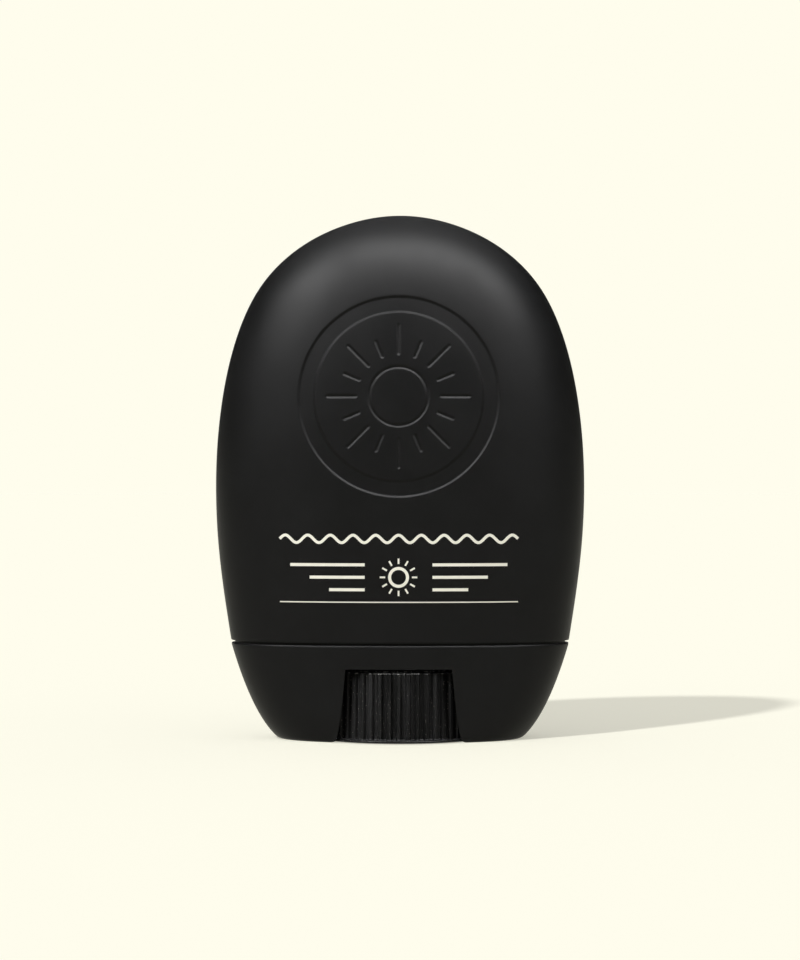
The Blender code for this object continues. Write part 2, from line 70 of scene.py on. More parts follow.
def make_camera():
    """A level camera on a circle round the Z axis: the point (sin, -cos) of the turn, times the distance."""
    data = bpy.data.cameras.new("front_camera")
    data.lens = CAMERA_LENS
    data.sensor_width = CAMERA_SENSOR
    data.clip_start = CAMERA_NEAR
    camera = bpy.data.objects.new("front_camera", data)
    camera.location = (
        CAMERA_DISTANCE * math.sin(CAMERA_TURN),
        -CAMERA_DISTANCE * math.cos(CAMERA_TURN),
        CAMERA_HEIGHT,
    )
    camera.rotation_euler = (math.pi / 2, 0.0, CAMERA_TURN)
    bpy.context.scene.collection.objects.link(camera)
    bpy.context.scene.camera = camera
    return camera


camera = make_camera()
print("camera at", [round(value, 4) for value in camera.location])

# %% [markdown]
# ## Tools for surfaces
#
# Nearly every part of the stick is a stack of rings: ovals for the cap, the barrel and the balm, circles for
# the wheel. A ring is a row of a table of points, and a part is the whole table, so numpy can work it out in
# one go. Turning the table into a mesh is then only a matter of numbering: each point joins its neighbour in
# the same row and the two beside it in the next row.

# %% From a table of points to a mesh
SHARP_ANGLE = 35.0


def quads_of(rows, columns, loop):
    """Corner numbers of the faces between rows that close on themselves. In a loop the rows do so too."""
    index = np.arange(rows * columns).reshape(rows, columns)
    low = index if loop else index[:-1]
    high = np.roll(index, -1, axis=0) if loop else index[1:]
    faces = (low, np.roll(low, -1, axis=1), np.roll(high, -1, axis=1), high)
    return np.stack(faces, axis=-1).reshape(-1, 4)


def signed_volume(points, quads):
    """Six times the volume inside the faces: the sum of each triangle's corners as a determinant."""
    halves = np.concatenate((quads[:, [0, 1, 2]], quads[:, [0, 2, 3]]))
    return np.linalg.det(points[halves]).sum()


def mesh_piece(name, points, faces, sharp=SHARP_ANGLE):
    """An object at the origin, its place in its mesh, shaded smooth but for edges over the sharp angle."""
    mesh = bpy.data.meshes.new(name)
    mesh.from_pydata(points.tolist(), [], faces)
    mesh.validate()
    mesh.shade_smooth()
    mesh.set_sharp_from_angle(angle=math.radians(sharp))
    piece = bpy.data.objects.new(name, mesh)
    bpy.context.scene.collection.objects.link(piece)
    return piece


def surface(grid, loop=False):
    """Points and faces of a closed surface over a table of rings. An open table gets a fan at each end.

    The faces are turned round if the volume that they enclose comes out negative, so they point outwards.
    """
    rows, columns, _ = grid.shape
    points = grid.reshape(-1, 3)
    faces = quads_of(rows, columns, loop)
    fans = np.empty((0, 3), int)
    if not loop:
        ring = np.arange(columns)
        after = np.roll(ring, -1)
        last = (rows - 1) * columns
        ends = np.stack((grid[0].mean(axis=0), grid[-1].mean(axis=0)))
        bottom = np.stack((after, ring, np.full(columns, len(points))), axis=1)
        top = np.stack((last + ring, last + after, np.full(columns, len(points) + 1)), axis=1)
        points = np.concatenate((points, ends))
        fans = np.concatenate((bottom, top))
    if signed_volume(points, np.concatenate((faces, fans[:, [0, 1, 2, 2]]))) < 0:
        faces = faces[:, ::-1]
        fans = fans[:, ::-1]
    return points, faces.tolist() + fans.tolist()


def skin(name, grid, loop=False, sharp=SHARP_ANGLE):
    """A piece made of one surface."""
    return mesh_piece(name, *surface(grid, loop), sharp)


# %% [markdown]
# ## The sizes of the stick
#
# All the large sizes are read from the boxes round the solids, so the fine surfaces can't drift away from
# them. The outline of the cap is not a circle or an ellipse: it is fuller at the shoulders. A few points read
# along it, as shares of the width and the height, are enough when a smooth curve runs through them.

# %% Sizes read from the frame
cap_low, cap_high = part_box("cap_shell")
base_low, base_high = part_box("base_shell")
barrel_low, barrel_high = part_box("barrel")
wheel_low, wheel_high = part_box("thumbwheel")
liner_low, liner_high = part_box("cap_liner")
seal_low, seal_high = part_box("seal_cover")
balm_low, balm_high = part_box("balm")

HEIGHT = cap_high.z
HALF_WIDTH = cap_high.x
HALF_DEPTH = cap_high.y
MOUTH_DROP = 0.0001
SEAM = cap_low.z - MOUTH_DROP
OVAL_POWER = 2.2
BASE_HEIGHT = base_high.z - base_low.z
SEAL_HEIGHT = seal_high.z - seal_low.z
print(f"cap {2000 * HALF_WIDTH:.1f} x {2000 * HALF_DEPTH:.1f} mm, seam at {1000 * SEAM:.2f} mm")
print(f"base {1000 * BASE_HEIGHT:.1f} mm tall, seal cover {1000 * SEAL_HEIGHT:.1f} mm tall")

# %% A smooth curve through a few points
def smooth_curve(corners, count):
    """Points along the smoothest curve through the corners, level at the first one and free at the last.

    Between two corners it is a cubic in the distance along the chords. The slopes at the corners are found
    together, by solving the equations that make the bend continuous from each stretch to the next.
    """
    corners = np.array(corners, float)
    chords = np.linalg.norm(np.diff(corners, axis=0), axis=1)
    knots = np.concatenate(([0.0], np.cumsum(chords)))
    size = len(corners)
    rises = np.diff(corners, axis=0) / chords[:, None]
    inner = np.arange(1, size - 1)
    system = np.zeros((size, size))
    right = np.zeros((size, 2))
    system[0, 0] = 1.0
    right[0, 0] = 1.0
    system[inner, inner - 1] = chords[1:]
    system[inner, inner] = 2 * (chords[1:] + chords[:-1])
    system[inner, inner + 1] = chords[:-1]
    right[1:-1] = 3 * (chords[1:, None] * rises[:-1] + chords[:-1, None] * rises[1:])
    system[-1, -2:] = (1.0, 2.0)
    right[-1] = 3 * rises[-1]
    slopes = np.linalg.solve(system, right)
    along = np.linspace(0.0, knots[-1], count)
    piece = np.clip(np.searchsorted(knots, along, side="right") - 1, 0, size - 2)
    span = chords[piece][:, None]
    u = (along[:, None] - knots[piece][:, None]) / span
    start = (2 * u**3 - 3 * u**2 + 1) * corners[piece] + (u**3 - 2 * u**2 + u) * span * slopes[piece]
    end = (3 * u**2 - 2 * u**3) * corners[piece + 1] + (u**3 - u**2) * span * slopes[piece + 1]
    return start + end


CROWN_SHARES = (
    (0.0, 1.0),
    (0.2925, 0.9827),
    (0.5528, 0.9367),
    (0.7505, 0.8675),
    (0.8792, 0.7755),
    (0.9599, 0.6603),
    (1.0, 0.4817),
    (0.9858, 0.3667),
    (0.9170, 0.1893),
)
CROWN_POINTS = 4001
crown_corners = [(width * HALF_WIDTH, height * HEIGHT) for width, height in CROWN_SHARES[:-1]]
crown_corners.append((CROWN_SHARES[-1][0] * HALF_WIDTH, SEAM))
crown = smooth_curve(crown_corners, CROWN_POINTS)
MOUTH_WIDTH = crown[-1, 0]
MOUTH_DEPTH = MOUTH_WIDTH * HALF_DEPTH / HALF_WIDTH
print(f"widest {1000 * crown[:, 0].max():.2f} mm from the axis, mouth {1000 * MOUTH_WIDTH:.2f} mm")

# %% Ovals and circles
ROUND_STEPS = 4
ROUND_SHARE = 0.45


def oval_rings(sizes, turn):
    """One ring for each (half width, half depth, height): the unit oval times the half sizes, at the height.

    Where the two half sizes are the same the ring is a circle, so its power is 1.
    """
    sizes = np.array(sizes, float)
    power = np.where(np.isclose(sizes[:, 0], sizes[:, 1]), 1.0, 2 / OVAL_POWER)[:, None]
    cosine = np.cos(turn)
    sine = np.sin(turn)
    x = sizes[:, 0, None] * np.sign(cosine) * np.abs(cosine) ** power
    y = sizes[:, 1, None] * np.sign(sine) * np.abs(sine) ** power
    z = np.repeat(sizes[:, 2, None], len(turn), axis=1)
    return np.stack((x, y, z), axis=-1)


def even_turn(count):
    """Angles spaced evenly round a full turn."""
    return np.arange(count) * math.tau / count


def rounded(corners, radius):
    """A closed profile with its corners rounded.

    Each corner gives way to a short curve that leaves the line before it and joins the line after it, at the
    radius or at a little under half of that line: (1-t)^2 a + 2t(1-t) corner + t^2 b.
    """
    corners = np.array(corners, float)
    before = np.roll(corners, 1, axis=0) - corners
    after = np.roll(corners, -1, axis=0) - corners
    before_length = np.linalg.norm(before, axis=1, keepdims=True)
    after_length = np.linalg.norm(after, axis=1, keepdims=True)
    reach = np.minimum(radius, ROUND_SHARE * np.minimum(before_length, after_length))
    a = (corners + before / before_length * reach)[:, None]
    b = (corners + after / after_length * reach)[:, None]
    t = np.linspace(0.0, 1.0, ROUND_STEPS)[None, :, None]
    curve = (1 - t) ** 2 * a + 2 * t * (1 - t) * corners[:, None] + t**2 * b
    return curve.reshape(-1, corners.shape[1])


# %% [markdown]
# ## Where the cap needs its points
#
# The front of the cap carries an engraved sign whose lines are less than half a millimetre wide. They need
# a fine net of points, but the rest of the cap is smooth and needs few. So the rows and the columns are
# spread by a density: the count of points grows by one for each spacing travelled, and the spacing is small
# only where the engraving lies. Reading that count backwards at whole numbers gives the places.

# %% Rows and columns of the cap
SIGN_RADIUS = 0.0113
SIGN_HEIGHT = 0.0390
SIGN_MARGIN = 0.0006
FINE_SPACING = 0.000113
ROW_SPACING = 0.00050
COLUMN_SPACING = 0.00095
DENSE_POINTS = 8001


def stations(distance, spacing):
    """Positions in a row, one for each spacing travelled: the running sum of step over spacing, inverted."""
    steps = np.diff(distance) / (spacing[1:] + spacing[:-1]) * 2
    count = np.concatenate(([0.0], np.cumsum(steps)))
    whole = np.linspace(0.0, count[-1], int(round(count[-1])) + 1)
    return np.interp(whole, count, np.arange(len(distance)))


def travelled(path):
    """Distance along a row of points."""
    return np.concatenate(([0.0], np.cumsum(np.linalg.norm(np.diff(path, axis=0), axis=1))))


near_sign = np.abs(crown[:, 1] - SIGN_HEIGHT) < SIGN_RADIUS + SIGN_MARGIN
row_places = stations(travelled(crown), np.where(near_sign, FINE_SPACING, ROW_SPACING))
crown_rows = np.stack([np.interp(row_places, np.arange(len(crown)), side) for side in crown.T], axis=1)

fine_rise = np.abs(crown[:, 1] - SIGN_HEIGHT)
fine_reach = np.sqrt(np.maximum((SIGN_RADIUS + SIGN_MARGIN) ** 2 - fine_rise**2, 0.0))
fine_half = (fine_reach / np.maximum(crown[:, 0], SIGN_RADIUS)).max()
dense_turn = np.linspace(0.0, math.tau, DENSE_POINTS)
dense_oval = oval_rings([(HALF_WIDTH, HALF_DEPTH, 0.0)], dense_turn)[0]
in_front = (dense_oval[:, 1] < 0) & (np.abs(dense_oval[:, 0]) < fine_half * HALF_WIDTH)
column_places = stations(travelled(dense_oval), np.where(in_front, FINE_SPACING, COLUMN_SPACING))
cap_turn = np.interp(column_places, np.arange(len(dense_turn)), dense_turn)[:-1]
print(f"{len(crown_rows)} rows and {len(cap_turn)} columns on the cap")

# %% [markdown]
# ## The engraved sign
#
# The cap carries a large, shallow sign, sunk into its face: a broad flat band with a sunburst inside it.
# Such a sign could be a bump texture, but real walls catch the light on one side and turn dark on the other,
# so it is sunk into the mesh. Each stroke is a trench, which is 1 in its floor and falls to 0 across a short
# slope, as a function of how far a point lies from the stroke's middle line. The deepest stroke wins.

# %% Depth of the sign
BAND_MIDDLE = 0.0104
BAND_HALF = 0.00080
BAND_DEPTH = 0.00018
LINE_HALF = 0.00005
LINE_DEPTH = 0.00014
WALL = 0.00016
SUN_RADIUS = 0.0033
RAY_START = 0.0048
RAY_ENDS = (0.0080, 0.0066)
RAY_COUNT = 16


def smooth_step(t):
    """3t^2 - 2t^3, with t held between 0 and 1."""
    t = np.clip(t, 0.0, 1.0)
    return t * t * (3 - 2 * t)


def trench(distance, half):
    """1 within the half width of a line, falling to 0 across the wall beside it by the smooth step."""
    return smooth_step((half + WALL - np.abs(distance)) / WALL)


def sunburst_depth(x, z):
    """How deep the sign is at (x, z): a ring-shaped band, a circle, and rays of two lengths by turns.

    With r and the angle round the sign's middle, the band and the circle are trenches in r. A ray is the
    distance to a short line, found after the angle is folded into one ray's share of the turn.
    """
    r = np.hypot(x, z - SIGN_HEIGHT)
    share = np.arctan2(x, z - SIGN_HEIGHT) / math.tau * RAY_COUNT
    number = np.round(share)
    folded = (share - number) * math.tau / RAY_COUNT
    ray_end = np.where(number % 2 == 0, RAY_ENDS[0], RAY_ENDS[1])
    past = np.maximum(RAY_START - r * np.cos(folded), r * np.cos(folded) - ray_end)
    ray = np.hypot(r * np.sin(folded), np.maximum(past, 0.0))
    strokes = (
        trench(r - BAND_MIDDLE, BAND_HALF) * BAND_DEPTH,
        trench(r - SUN_RADIUS, LINE_HALF) * LINE_DEPTH,
        trench(ray, LINE_HALF) * LINE_DEPTH,
    )
    return np.maximum.reduce(strokes)


probe = sunburst_depth(np.array([0.0, BAND_MIDDLE]), SIGN_HEIGHT)
print("depth at the middle and in the band, mm:", (1000 * probe).round(2))

# %% [markdown]
# ## The cap
#
# The cap is one thin moulded shell. Its outside follows the crown curve, its inside is the same form drawn in
# by the wall, and a small round joins them at the mouth. The engraving pushes the outside inwards along its
# own normal, which is the cross product of the steps to the next row and to the next column.

# %% Outer cap
CAP_WALL = 0.0011
CAP_TOP_WALL = 0.0015
MOUTH_ROUND = 0.00014
OUTSIDE_START = 2 * MOUTH_ROUND
INSIDE_START = 3 * MOUTH_ROUND
INSIDE_STEP = 20
NOTHING = 1e-12
CAP_SHARP = 60.0


def inward_normals(grid):
    """Unit normals of a closed grid, towards the axis: the cross product of row and column differences."""
    down = np.gradient(grid, axis=0)
    around = np.roll(grid, -1, axis=1) - np.roll(grid, 1, axis=1)
    normal = np.cross(down, around)
    normal /= np.linalg.norm(normal, axis=-1, keepdims=True) + NOTHING
    outwards = (normal[..., :2] * grid[..., :2]).sum() > 0
    return -normal if outwards else normal


def cap_grid():
    """Rows down the inside of the cap from its ceiling, round its mouth and up the outside to its top."""
    depth_share = HALF_DEPTH / HALF_WIDTH
    outer = np.stack((crown_rows[1:, 0], crown_rows[1:, 0] * depth_share, crown_rows[1:, 1]), axis=1)
    coarse = crown_rows[1::INSIDE_STEP]
    squeeze = (HEIGHT - CAP_TOP_WALL - SEAM) / (HEIGHT - SEAM)
    width_left = 1 - CAP_WALL / HALF_WIDTH
    depth_left = 1 - CAP_WALL / HALF_DEPTH
    inner_width = coarse[:, 0] * width_left
    inner_depth = coarse[:, 0] * depth_share * depth_left
    inner = np.stack((inner_width, inner_depth, SEAM + (coarse[:, 1] - SEAM) * squeeze), axis=1)
    inner[:, 2] = np.maximum(inner[:, 2], SEAM + INSIDE_START)
    mouth_in = np.array([MOUTH_WIDTH * width_left, MOUTH_DEPTH * depth_left, SEAM])
    mouth_out = np.array([MOUTH_WIDTH, MOUTH_DEPTH, SEAM])
    corners = [inner[-1], mouth_in, mouth_out, outer[-2]]
    mouth = rounded(corners, MOUTH_ROUND)[ROUND_STEPS:3 * ROUND_STEPS]
    outside = oval_rings(outer[:-1], cap_turn)
    front = outside[..., 1] < 0
    depth = np.where(front, sunburst_depth(outside[..., 0], outside[..., 2]), 0.0)
    outside = outside + inward_normals(outside) * depth[..., None]
    above = outside[:, 0, 2] > SEAM + OUTSIDE_START
    inside = oval_rings(inner, cap_turn)
    return np.concatenate((inside, oval_rings(mouth, cap_turn), outside[above][::-1]))


cap_dome = skin("cap_dome", cap_grid(), sharp=CAP_SHARP)
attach(cap_dome, "cap")
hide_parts("cap_shell")
print(len(cap_dome.data.polygons), "faces on the cap")

# %% [markdown]
# ## The base
#
# The base tapers to a narrow foot. A round drum is cut into it from below for the wheel, and because the drum
# is wider than the base is deep, it breaks through the front and the back: that is the window the wheel shows
# in. Cutting one smooth form with another is what a Boolean does, and here both are fine surfaces, so the
# window's edge comes out as the true curve where an oval meets a cylinder.

# %% Base
SEAT_GAP = 0.0003
SEAM_GROOVE = 0.00029
RIM = SEAM - SEAM_GROOVE
RIM_ROUND = 0.00014
RIM_START = 0.15
LIP_GAP = 0.00002
LIP_TOP = SEAM - LIP_GAP
LIP_INSET = 0.00045
FOOT_WIDTH = 0.01398
FOOT_DEPTH = 0.0084
FOOT_ROUND = 0.0005
PULL_WIDTH = 0.01697
PULL_DEPTH = 0.00855
PULL_HEIGHT = 0.0025
BASE_WALL = 0.0012
WHEEL_SIDE_GAP = 0.00045
WHEEL_HEAD_GAP = 0.00042
POCKET_RADIUS = wheel_high.x + WHEEL_SIDE_GAP
POCKET_TOP = wheel_high.z + WHEEL_HEAD_GAP
DECK_TOP = barrel_low.z - SEAT_GAP
HUB_HOLE = 0.0025
PAST = 0.002
FOOT_ROWS = 8
SIDE_ROWS = 36
RIM_ROWS = 7
HOLLOW_ROWS = 20
BASE_COLUMNS = 256
HUB_COLUMNS = 64
BASE_SHARP = 30.0
base_turn = even_turn(BASE_COLUMNS)


def pulled(start, pull, end, first, count):
    """Points (1-t)^2 start + 2t(1-t) pull + t^2 end, for t from the first value to 1."""
    t = np.linspace(first, 1.0, count)[:, None]
    return (1 - t) ** 2 * np.array(start) + 2 * t * (1 - t) * np.array(pull) + t**2 * np.array(end)


def base_side(count):
    """(half width, half depth, height) up the base's side, from the end of its foot's round to its rim."""
    foot = np.array([FOOT_WIDTH, FOOT_DEPTH, 0.0])
    pull = np.array([PULL_WIDTH, PULL_DEPTH, PULL_HEIGHT])
    first = FOOT_ROUND / 2 / np.linalg.norm(pull - foot)
    return pulled(foot, pull, (MOUTH_WIDTH, MOUTH_DEPTH, RIM), first, count)


def base_outside():
    """The foot's round, the side, the small round of the rim and the lip inside it."""
    side = base_side(SIDE_ROWS)
    corner = np.array([FOOT_WIDTH, FOOT_DEPTH, 0.0])
    foot = pulled(corner - (FOOT_ROUND, FOOT_ROUND, 0.0), corner, side[0], 0.0, FOOT_ROWS)
    inset = np.array([LIP_INSET, LIP_INSET, 0.0])
    rim = np.array([MOUTH_WIDTH, MOUTH_DEPTH, RIM])
    side_end = side[side[:, 2] < RIM - RIM_ROUND]
    edge = pulled(side_end[-1], rim, rim - (RIM_ROUND, RIM_ROUND, 0.0), RIM_START, RIM_ROWS)
    lip = np.stack((rim - inset, rim - inset + (0.0, 0.0, LIP_TOP - RIM)))
    return np.concatenate((foot[:-1], side_end, edge, lip))


def base_hollow():
    """The side drawn in by the wall, from the floor up past the rim."""
    side = base_side(HOLLOW_ROWS)
    wall = np.array([BASE_WALL, BASE_WALL, 0.0])
    above = side[side[:, 2] > BASE_WALL] - wall
    floor = above[:1] * (1.0, 1.0, 0.0) + (0.0, 0.0, BASE_WALL)
    top = above[-1:] + (0.0, 0.0, PAST)
    return np.concatenate((floor, above, top))


def drum(name, radius, low, high, columns=BASE_COLUMNS):
    """A plain cylinder: two circles of the radius."""
    return skin(name, oval_rings([(radius, radius, low), (radius, radius, high)], even_turn(columns)))


def cut_away(piece, *cutters):
    """Take the cutters out of the piece one by one, keep the result as its mesh and delete the cutters."""
    for cutter in cutters:
        modifier = piece.modifiers.new("cut", "BOOLEAN")
        modifier.solver = "EXACT"
        modifier.object = cutter
    graph = bpy.context.evaluated_depsgraph_get()
    result = bpy.data.meshes.new_from_object(piece.evaluated_get(graph))
    piece.modifiers.clear()
    piece.data = result
    for cutter in cutters:
        bpy.data.objects.remove(cutter, do_unlink=True)


base_body = skin("base_body", oval_rings(base_outside(), base_turn))
base_cavity = skin("base_cavity", oval_rings(base_hollow(), base_turn))
cut_away(base_cavity, drum("wheel_housing", POCKET_RADIUS + BASE_WALL, -PAST, DECK_TOP))
cut_away(
    base_body,
    base_cavity,
    drum("wheel_pocket", POCKET_RADIUS, -PAST, POCKET_TOP),
    drum("hub_hole", HUB_HOLE, POCKET_TOP - PAST, DECK_TOP + PAST, HUB_COLUMNS),
)
base_body.data.shade_smooth()
base_body.data.set_sharp_from_angle(angle=math.radians(BASE_SHARP))
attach(base_body, "base")
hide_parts("base_shell")
print(len(base_body.data.polygons), "faces on the base")

# %% [markdown]
# ## The thumbwheel
#
# The wheel is moulded with rounded ribs for the thumb, and a thin plain flange closes it at the bottom and
# stands out past them. A rib is a wave in the radius. A plain cosine would look soft and even, so the wave is
# stretched and clipped: broad flat-topped ribs with narrow valleys between them. A low ring on top slides
# under the roof of the pocket and keeps light from shining through. Underneath, the wheel is hollow, with a
# boss that holds the square end of the screw.

# %% Thumbwheel
RIB_COUNT = 52
RIB_DEPTH = 0.00038
RIB_POINTS = 12
RIB_LEVEL = 0.62
RIB_SWING = 0.95
WHEEL_DRAFT = 0.00010
FLANGE_PROUD = 0.00085
WHEEL_SOLE = wheel_low.z / 2
FLANGE_HEIGHT = 0.00018
FLANGE_TOP = wheel_low.z + FLANGE_HEIGHT
WHEEL_PLATE = 0.0012
WHEEL_RIM = 0.0014
BOSS_RADIUS = 0.00316
BOSS_LENGTH = 0.0056
BOSS_BOTTOM = wheel_high.z - BOSS_LENGTH
SOCKET_HALF = 0.0016
EDGE_ROUND = 0.00016
SLIDE_RING = (0.0066, 0.0074)
SLIDE_RING_HEIGHT = 0.0003
WHEEL_SHARP = 50.0


def rib_wave(turn):
    """0 in a valley, 1 on a rib: the cosine of the turn times the count, stretched, clipped and smoothed."""
    return smooth_step(RIB_LEVEL + RIB_SWING * np.cos(RIB_COUNT * turn))


def wheel_grid():
    """Rings round the wheel's wall, from the socket over the top, down the ribs and back up inside."""
    turn = even_turn(RIB_COUNT * RIB_POINTS)
    outer = wheel_high.x
    root = outer - FLANGE_PROUD - RIB_DEPTH
    hollow = root - WHEEL_DRAFT - WHEEL_RIM
    top = wheel_high.z
    ring_top = top + SLIDE_RING_HEIGHT
    ceiling = top - WHEEL_PLATE
    corners = [
        (BOSS_RADIUS / 2, top, 0.0),
        (SLIDE_RING[0], top, 0.0),
        (SLIDE_RING[0], ring_top, 0.0),
        (SLIDE_RING[1], ring_top, 0.0),
        (SLIDE_RING[1], top, 0.0),
        (root - WHEEL_DRAFT, top, RIB_DEPTH),
        (root, FLANGE_TOP, RIB_DEPTH),
        (outer, FLANGE_TOP, 0.0),
        (outer, WHEEL_SOLE, 0.0),
        (hollow, WHEEL_SOLE, 0.0),
        (hollow, ceiling, 0.0),
        (BOSS_RADIUS, ceiling, 0.0),
        (BOSS_RADIUS, BOSS_BOTTOM, 0.0),
        (BOSS_RADIUS / 2, BOSS_BOTTOM, 0.0),
    ]
    rows = rounded(corners, EDGE_ROUND)
    radius = rows[:, 0, None] + rows[:, 2, None] * rib_wave(turn)
    square = SOCKET_HALF / np.maximum(np.abs(np.cos(turn)), np.abs(np.sin(turn)))
    radius = np.maximum(radius, square)
    height = np.repeat(rows[:, 1, None], len(turn), axis=1)
    return np.stack((radius * np.cos(turn), radius * np.sin(turn), height), axis=-1)


wheel_ribs = skin("wheel_ribs", wheel_grid(), loop=True, sharp=WHEEL_SHARP)
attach(wheel_ribs, "wheel")
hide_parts("thumbwheel")
print(len(wheel_ribs.data.polygons), "faces on the wheel")

# %% [markdown]
# ## The barrel
#
# The barrel shows once the cap is off. It is a straight oval tube with a floor, and a low bead round its
# neck clicks into the cap. It would be moulded in one go, and it is drawn in one go too: a closed profile of
# sizes, rounded at its corners, becomes a ring at each of its points. The screw and the carrier inside it
# stay as they came, because the balm hides them at every height.

# %% Barrel
BARREL_WALL = 0.0009
BARREL_FLOOR = 0.0010
SHOULDER = cap_low.z - SEAT_GAP
SHOULDER_ROWS = 60
BEAD_RISE = 0.0040
BEAD_HEIGHT = 0.0008
BEAD_PROUD = 0.00015
TUBE_ROUND = 0.00015
TUBE_COLUMNS = 192
tube_turn = even_turn(TUBE_COLUMNS)

LINER_WALL = 0.0007
NECK_WIDTH = liner_high.x - LINER_WALL - SEAT_GAP
NECK_DEPTH = liner_high.y - LINER_WALL - SEAT_GAP
BORE_WIDTH = NECK_WIDTH - BARREL_WALL
BORE_DEPTH = NECK_DEPTH - BARREL_WALL


def barrel_profile():
    """(half width, half depth, height) from the hub hole over the shoulder, up the neck, down the bore."""
    side = base_side(SHOULDER_ROWS)
    inset = BASE_WALL + SEAT_GAP
    foot = [np.interp(barrel_low.z, side[:, 2], side[:, axis]) - inset for axis in (0, 1)]
    rim = (MOUTH_WIDTH - inset, MOUTH_DEPTH - inset)
    neck = (NECK_WIDTH, NECK_DEPTH)
    bead = (NECK_WIDTH + BEAD_PROUD, NECK_DEPTH + BEAD_PROUD)
    bead_low = SHOULDER + BEAD_RISE
    return [
        (HUB_HOLE, HUB_HOLE, barrel_low.z),
        (*foot, barrel_low.z),
        (*rim, RIM),
        (*rim, SHOULDER),
        (*neck, SHOULDER),
        (*neck, bead_low),
        (*bead, bead_low + BEAD_HEIGHT / 2),
        (*neck, bead_low + BEAD_HEIGHT),
        (*neck, barrel_high.z),
        (BORE_WIDTH, BORE_DEPTH, barrel_high.z),
        (BORE_WIDTH, BORE_DEPTH, barrel_low.z + BARREL_FLOOR),
        (HUB_HOLE, HUB_HOLE, barrel_low.z + BARREL_FLOOR),
    ]


barrel_tube = skin("barrel_tube", oval_rings(rounded(barrel_profile(), TUBE_ROUND), tube_turn), loop=True)
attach(barrel_tube, "base")
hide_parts("barrel")
print(len(barrel_tube.data.polygons), "faces on the barrel")

# %% [markdown]
# ## The liner, the seal and the balm
#
# The cap bulges past its own mouth, so a straight sleeve inside it does the gripping. The seal is a thin
# domed cover over the fresh balm, and the balm fills the barrel and ends in the same dome, because it is
# poured against the seal. A dome is a stack of ovals whose size follows a rounded power curve.

# %% Liner sleeve
LINER_LEAD = 0.0003


def liner_profile():
    """(half width, half depth, height) round the wall of the sleeve, with a lead-in at both of its mouths."""
    outside = np.array([liner_high.x, liner_high.y, 0.0])
    inside = outside - (LINER_WALL, LINER_WALL, 0.0)
    lead = np.array([LINER_LEAD, LINER_LEAD, 0.0])
    low = np.array([0.0, 0.0, liner_low.z])
    high = np.array([0.0, 0.0, liner_high.z])
    step = np.array([0.0, 0.0, LINER_LEAD])
    return [
        outside + low,
        outside + high - step,
        outside - lead + high,
        inside + high,
        inside + low + step,
        inside + lead + low,
    ]


liner_sleeve = skin("liner_sleeve", oval_rings(rounded(liner_profile(), TUBE_ROUND), tube_turn), loop=True)
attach(liner_sleeve, "cap")
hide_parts("cap_liner")

# %% Seal and balm
DOME_POWER = 2.4
DOME_ROWS = 28
TIP = 0.012
SEAL_WALL = 0.0006
SEAL_FLANGE = 0.0008
BALM_DOME = 0.0085
BALM_BORE = 0.0025
NUT_BORE = 0.0037
NUT_BORE_TOP = 0.01833
BORE_DROP = 0.0012
SCREW_BORE_TOP = barrel_high.z - BORE_DROP
BALM_STEP = 0.01733
BALM_HOLD = 0.0011
SEAL_SHARP = 50.0


def dome_sizes(width, depth, bottom, rise):
    """(half width, half depth, height) up a dome: height is sin, size (1 - sin^power)^(1/2) of the way."""
    share = np.sin(np.linspace(0.0, math.pi / 2, DOME_ROWS + 1))
    drawn = np.sqrt(1 - share**DOME_POWER)
    drawn[-1] = TIP
    return np.stack((width * drawn, depth * drawn, bottom + rise * share), axis=1)


def flange_edge(width, depth, low, high):
    """The four points of a flange's edge, with its two corners cut by a tenth of its height."""
    nip = (high - low) / 10
    return np.array([
        (width - nip, depth - nip, low),
        (width, depth, low + nip),
        (width, depth, high - nip),
        (width - nip, depth - nip, high),
    ])


def seal_profile():
    """Down the underside of the dome, round the flange and up the top side."""
    low = seal_low.z
    under = dome_sizes(BORE_WIDTH, BORE_DEPTH, low, BALM_DOME)
    rise = BALM_DOME + SEAL_WALL - SEAL_FLANGE
    over = dome_sizes(BORE_WIDTH + SEAL_WALL, BORE_DEPTH + SEAL_WALL, low + SEAL_FLANGE, rise)
    flange = flange_edge(NECK_WIDTH, NECK_DEPTH, low, low + SEAL_FLANGE)
    return np.concatenate((under[::-1], flange, over))


def balm_profile():
    """Down the bores for the screw and its nut, out under the block, up its side and over its dome."""
    side = np.array([balm_high.x, balm_high.y, 0.0])
    held = side - (BALM_HOLD, BALM_HOLD, 0.0)
    up = np.array([0.0, 0.0, 1.0])
    bores = [
        (BALM_BORE, BALM_BORE, SCREW_BORE_TOP),
        (BALM_BORE, BALM_BORE, NUT_BORE_TOP),
        (NUT_BORE, NUT_BORE, NUT_BORE_TOP),
        (NUT_BORE, NUT_BORE, balm_low.z),
    ]
    steps = [held + up * balm_low.z, held + up * BALM_STEP, side + up * BALM_STEP]
    dome = dome_sizes(balm_high.x, balm_high.y, barrel_high.z, BALM_DOME)
    return np.concatenate((bores, steps, dome))


seal_dome = skin("seal_dome", oval_rings(seal_profile(), tube_turn), sharp=SEAL_SHARP)
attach(seal_dome, "seal")
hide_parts("seal_cover")
balm_block = skin("balm_block", oval_rings(balm_profile(), tube_turn))
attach(balm_block, "carrier")
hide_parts("balm")
print(len(seal_dome.data.polygons), "faces on the seal,", len(balm_block.data.polygons), "on the balm")

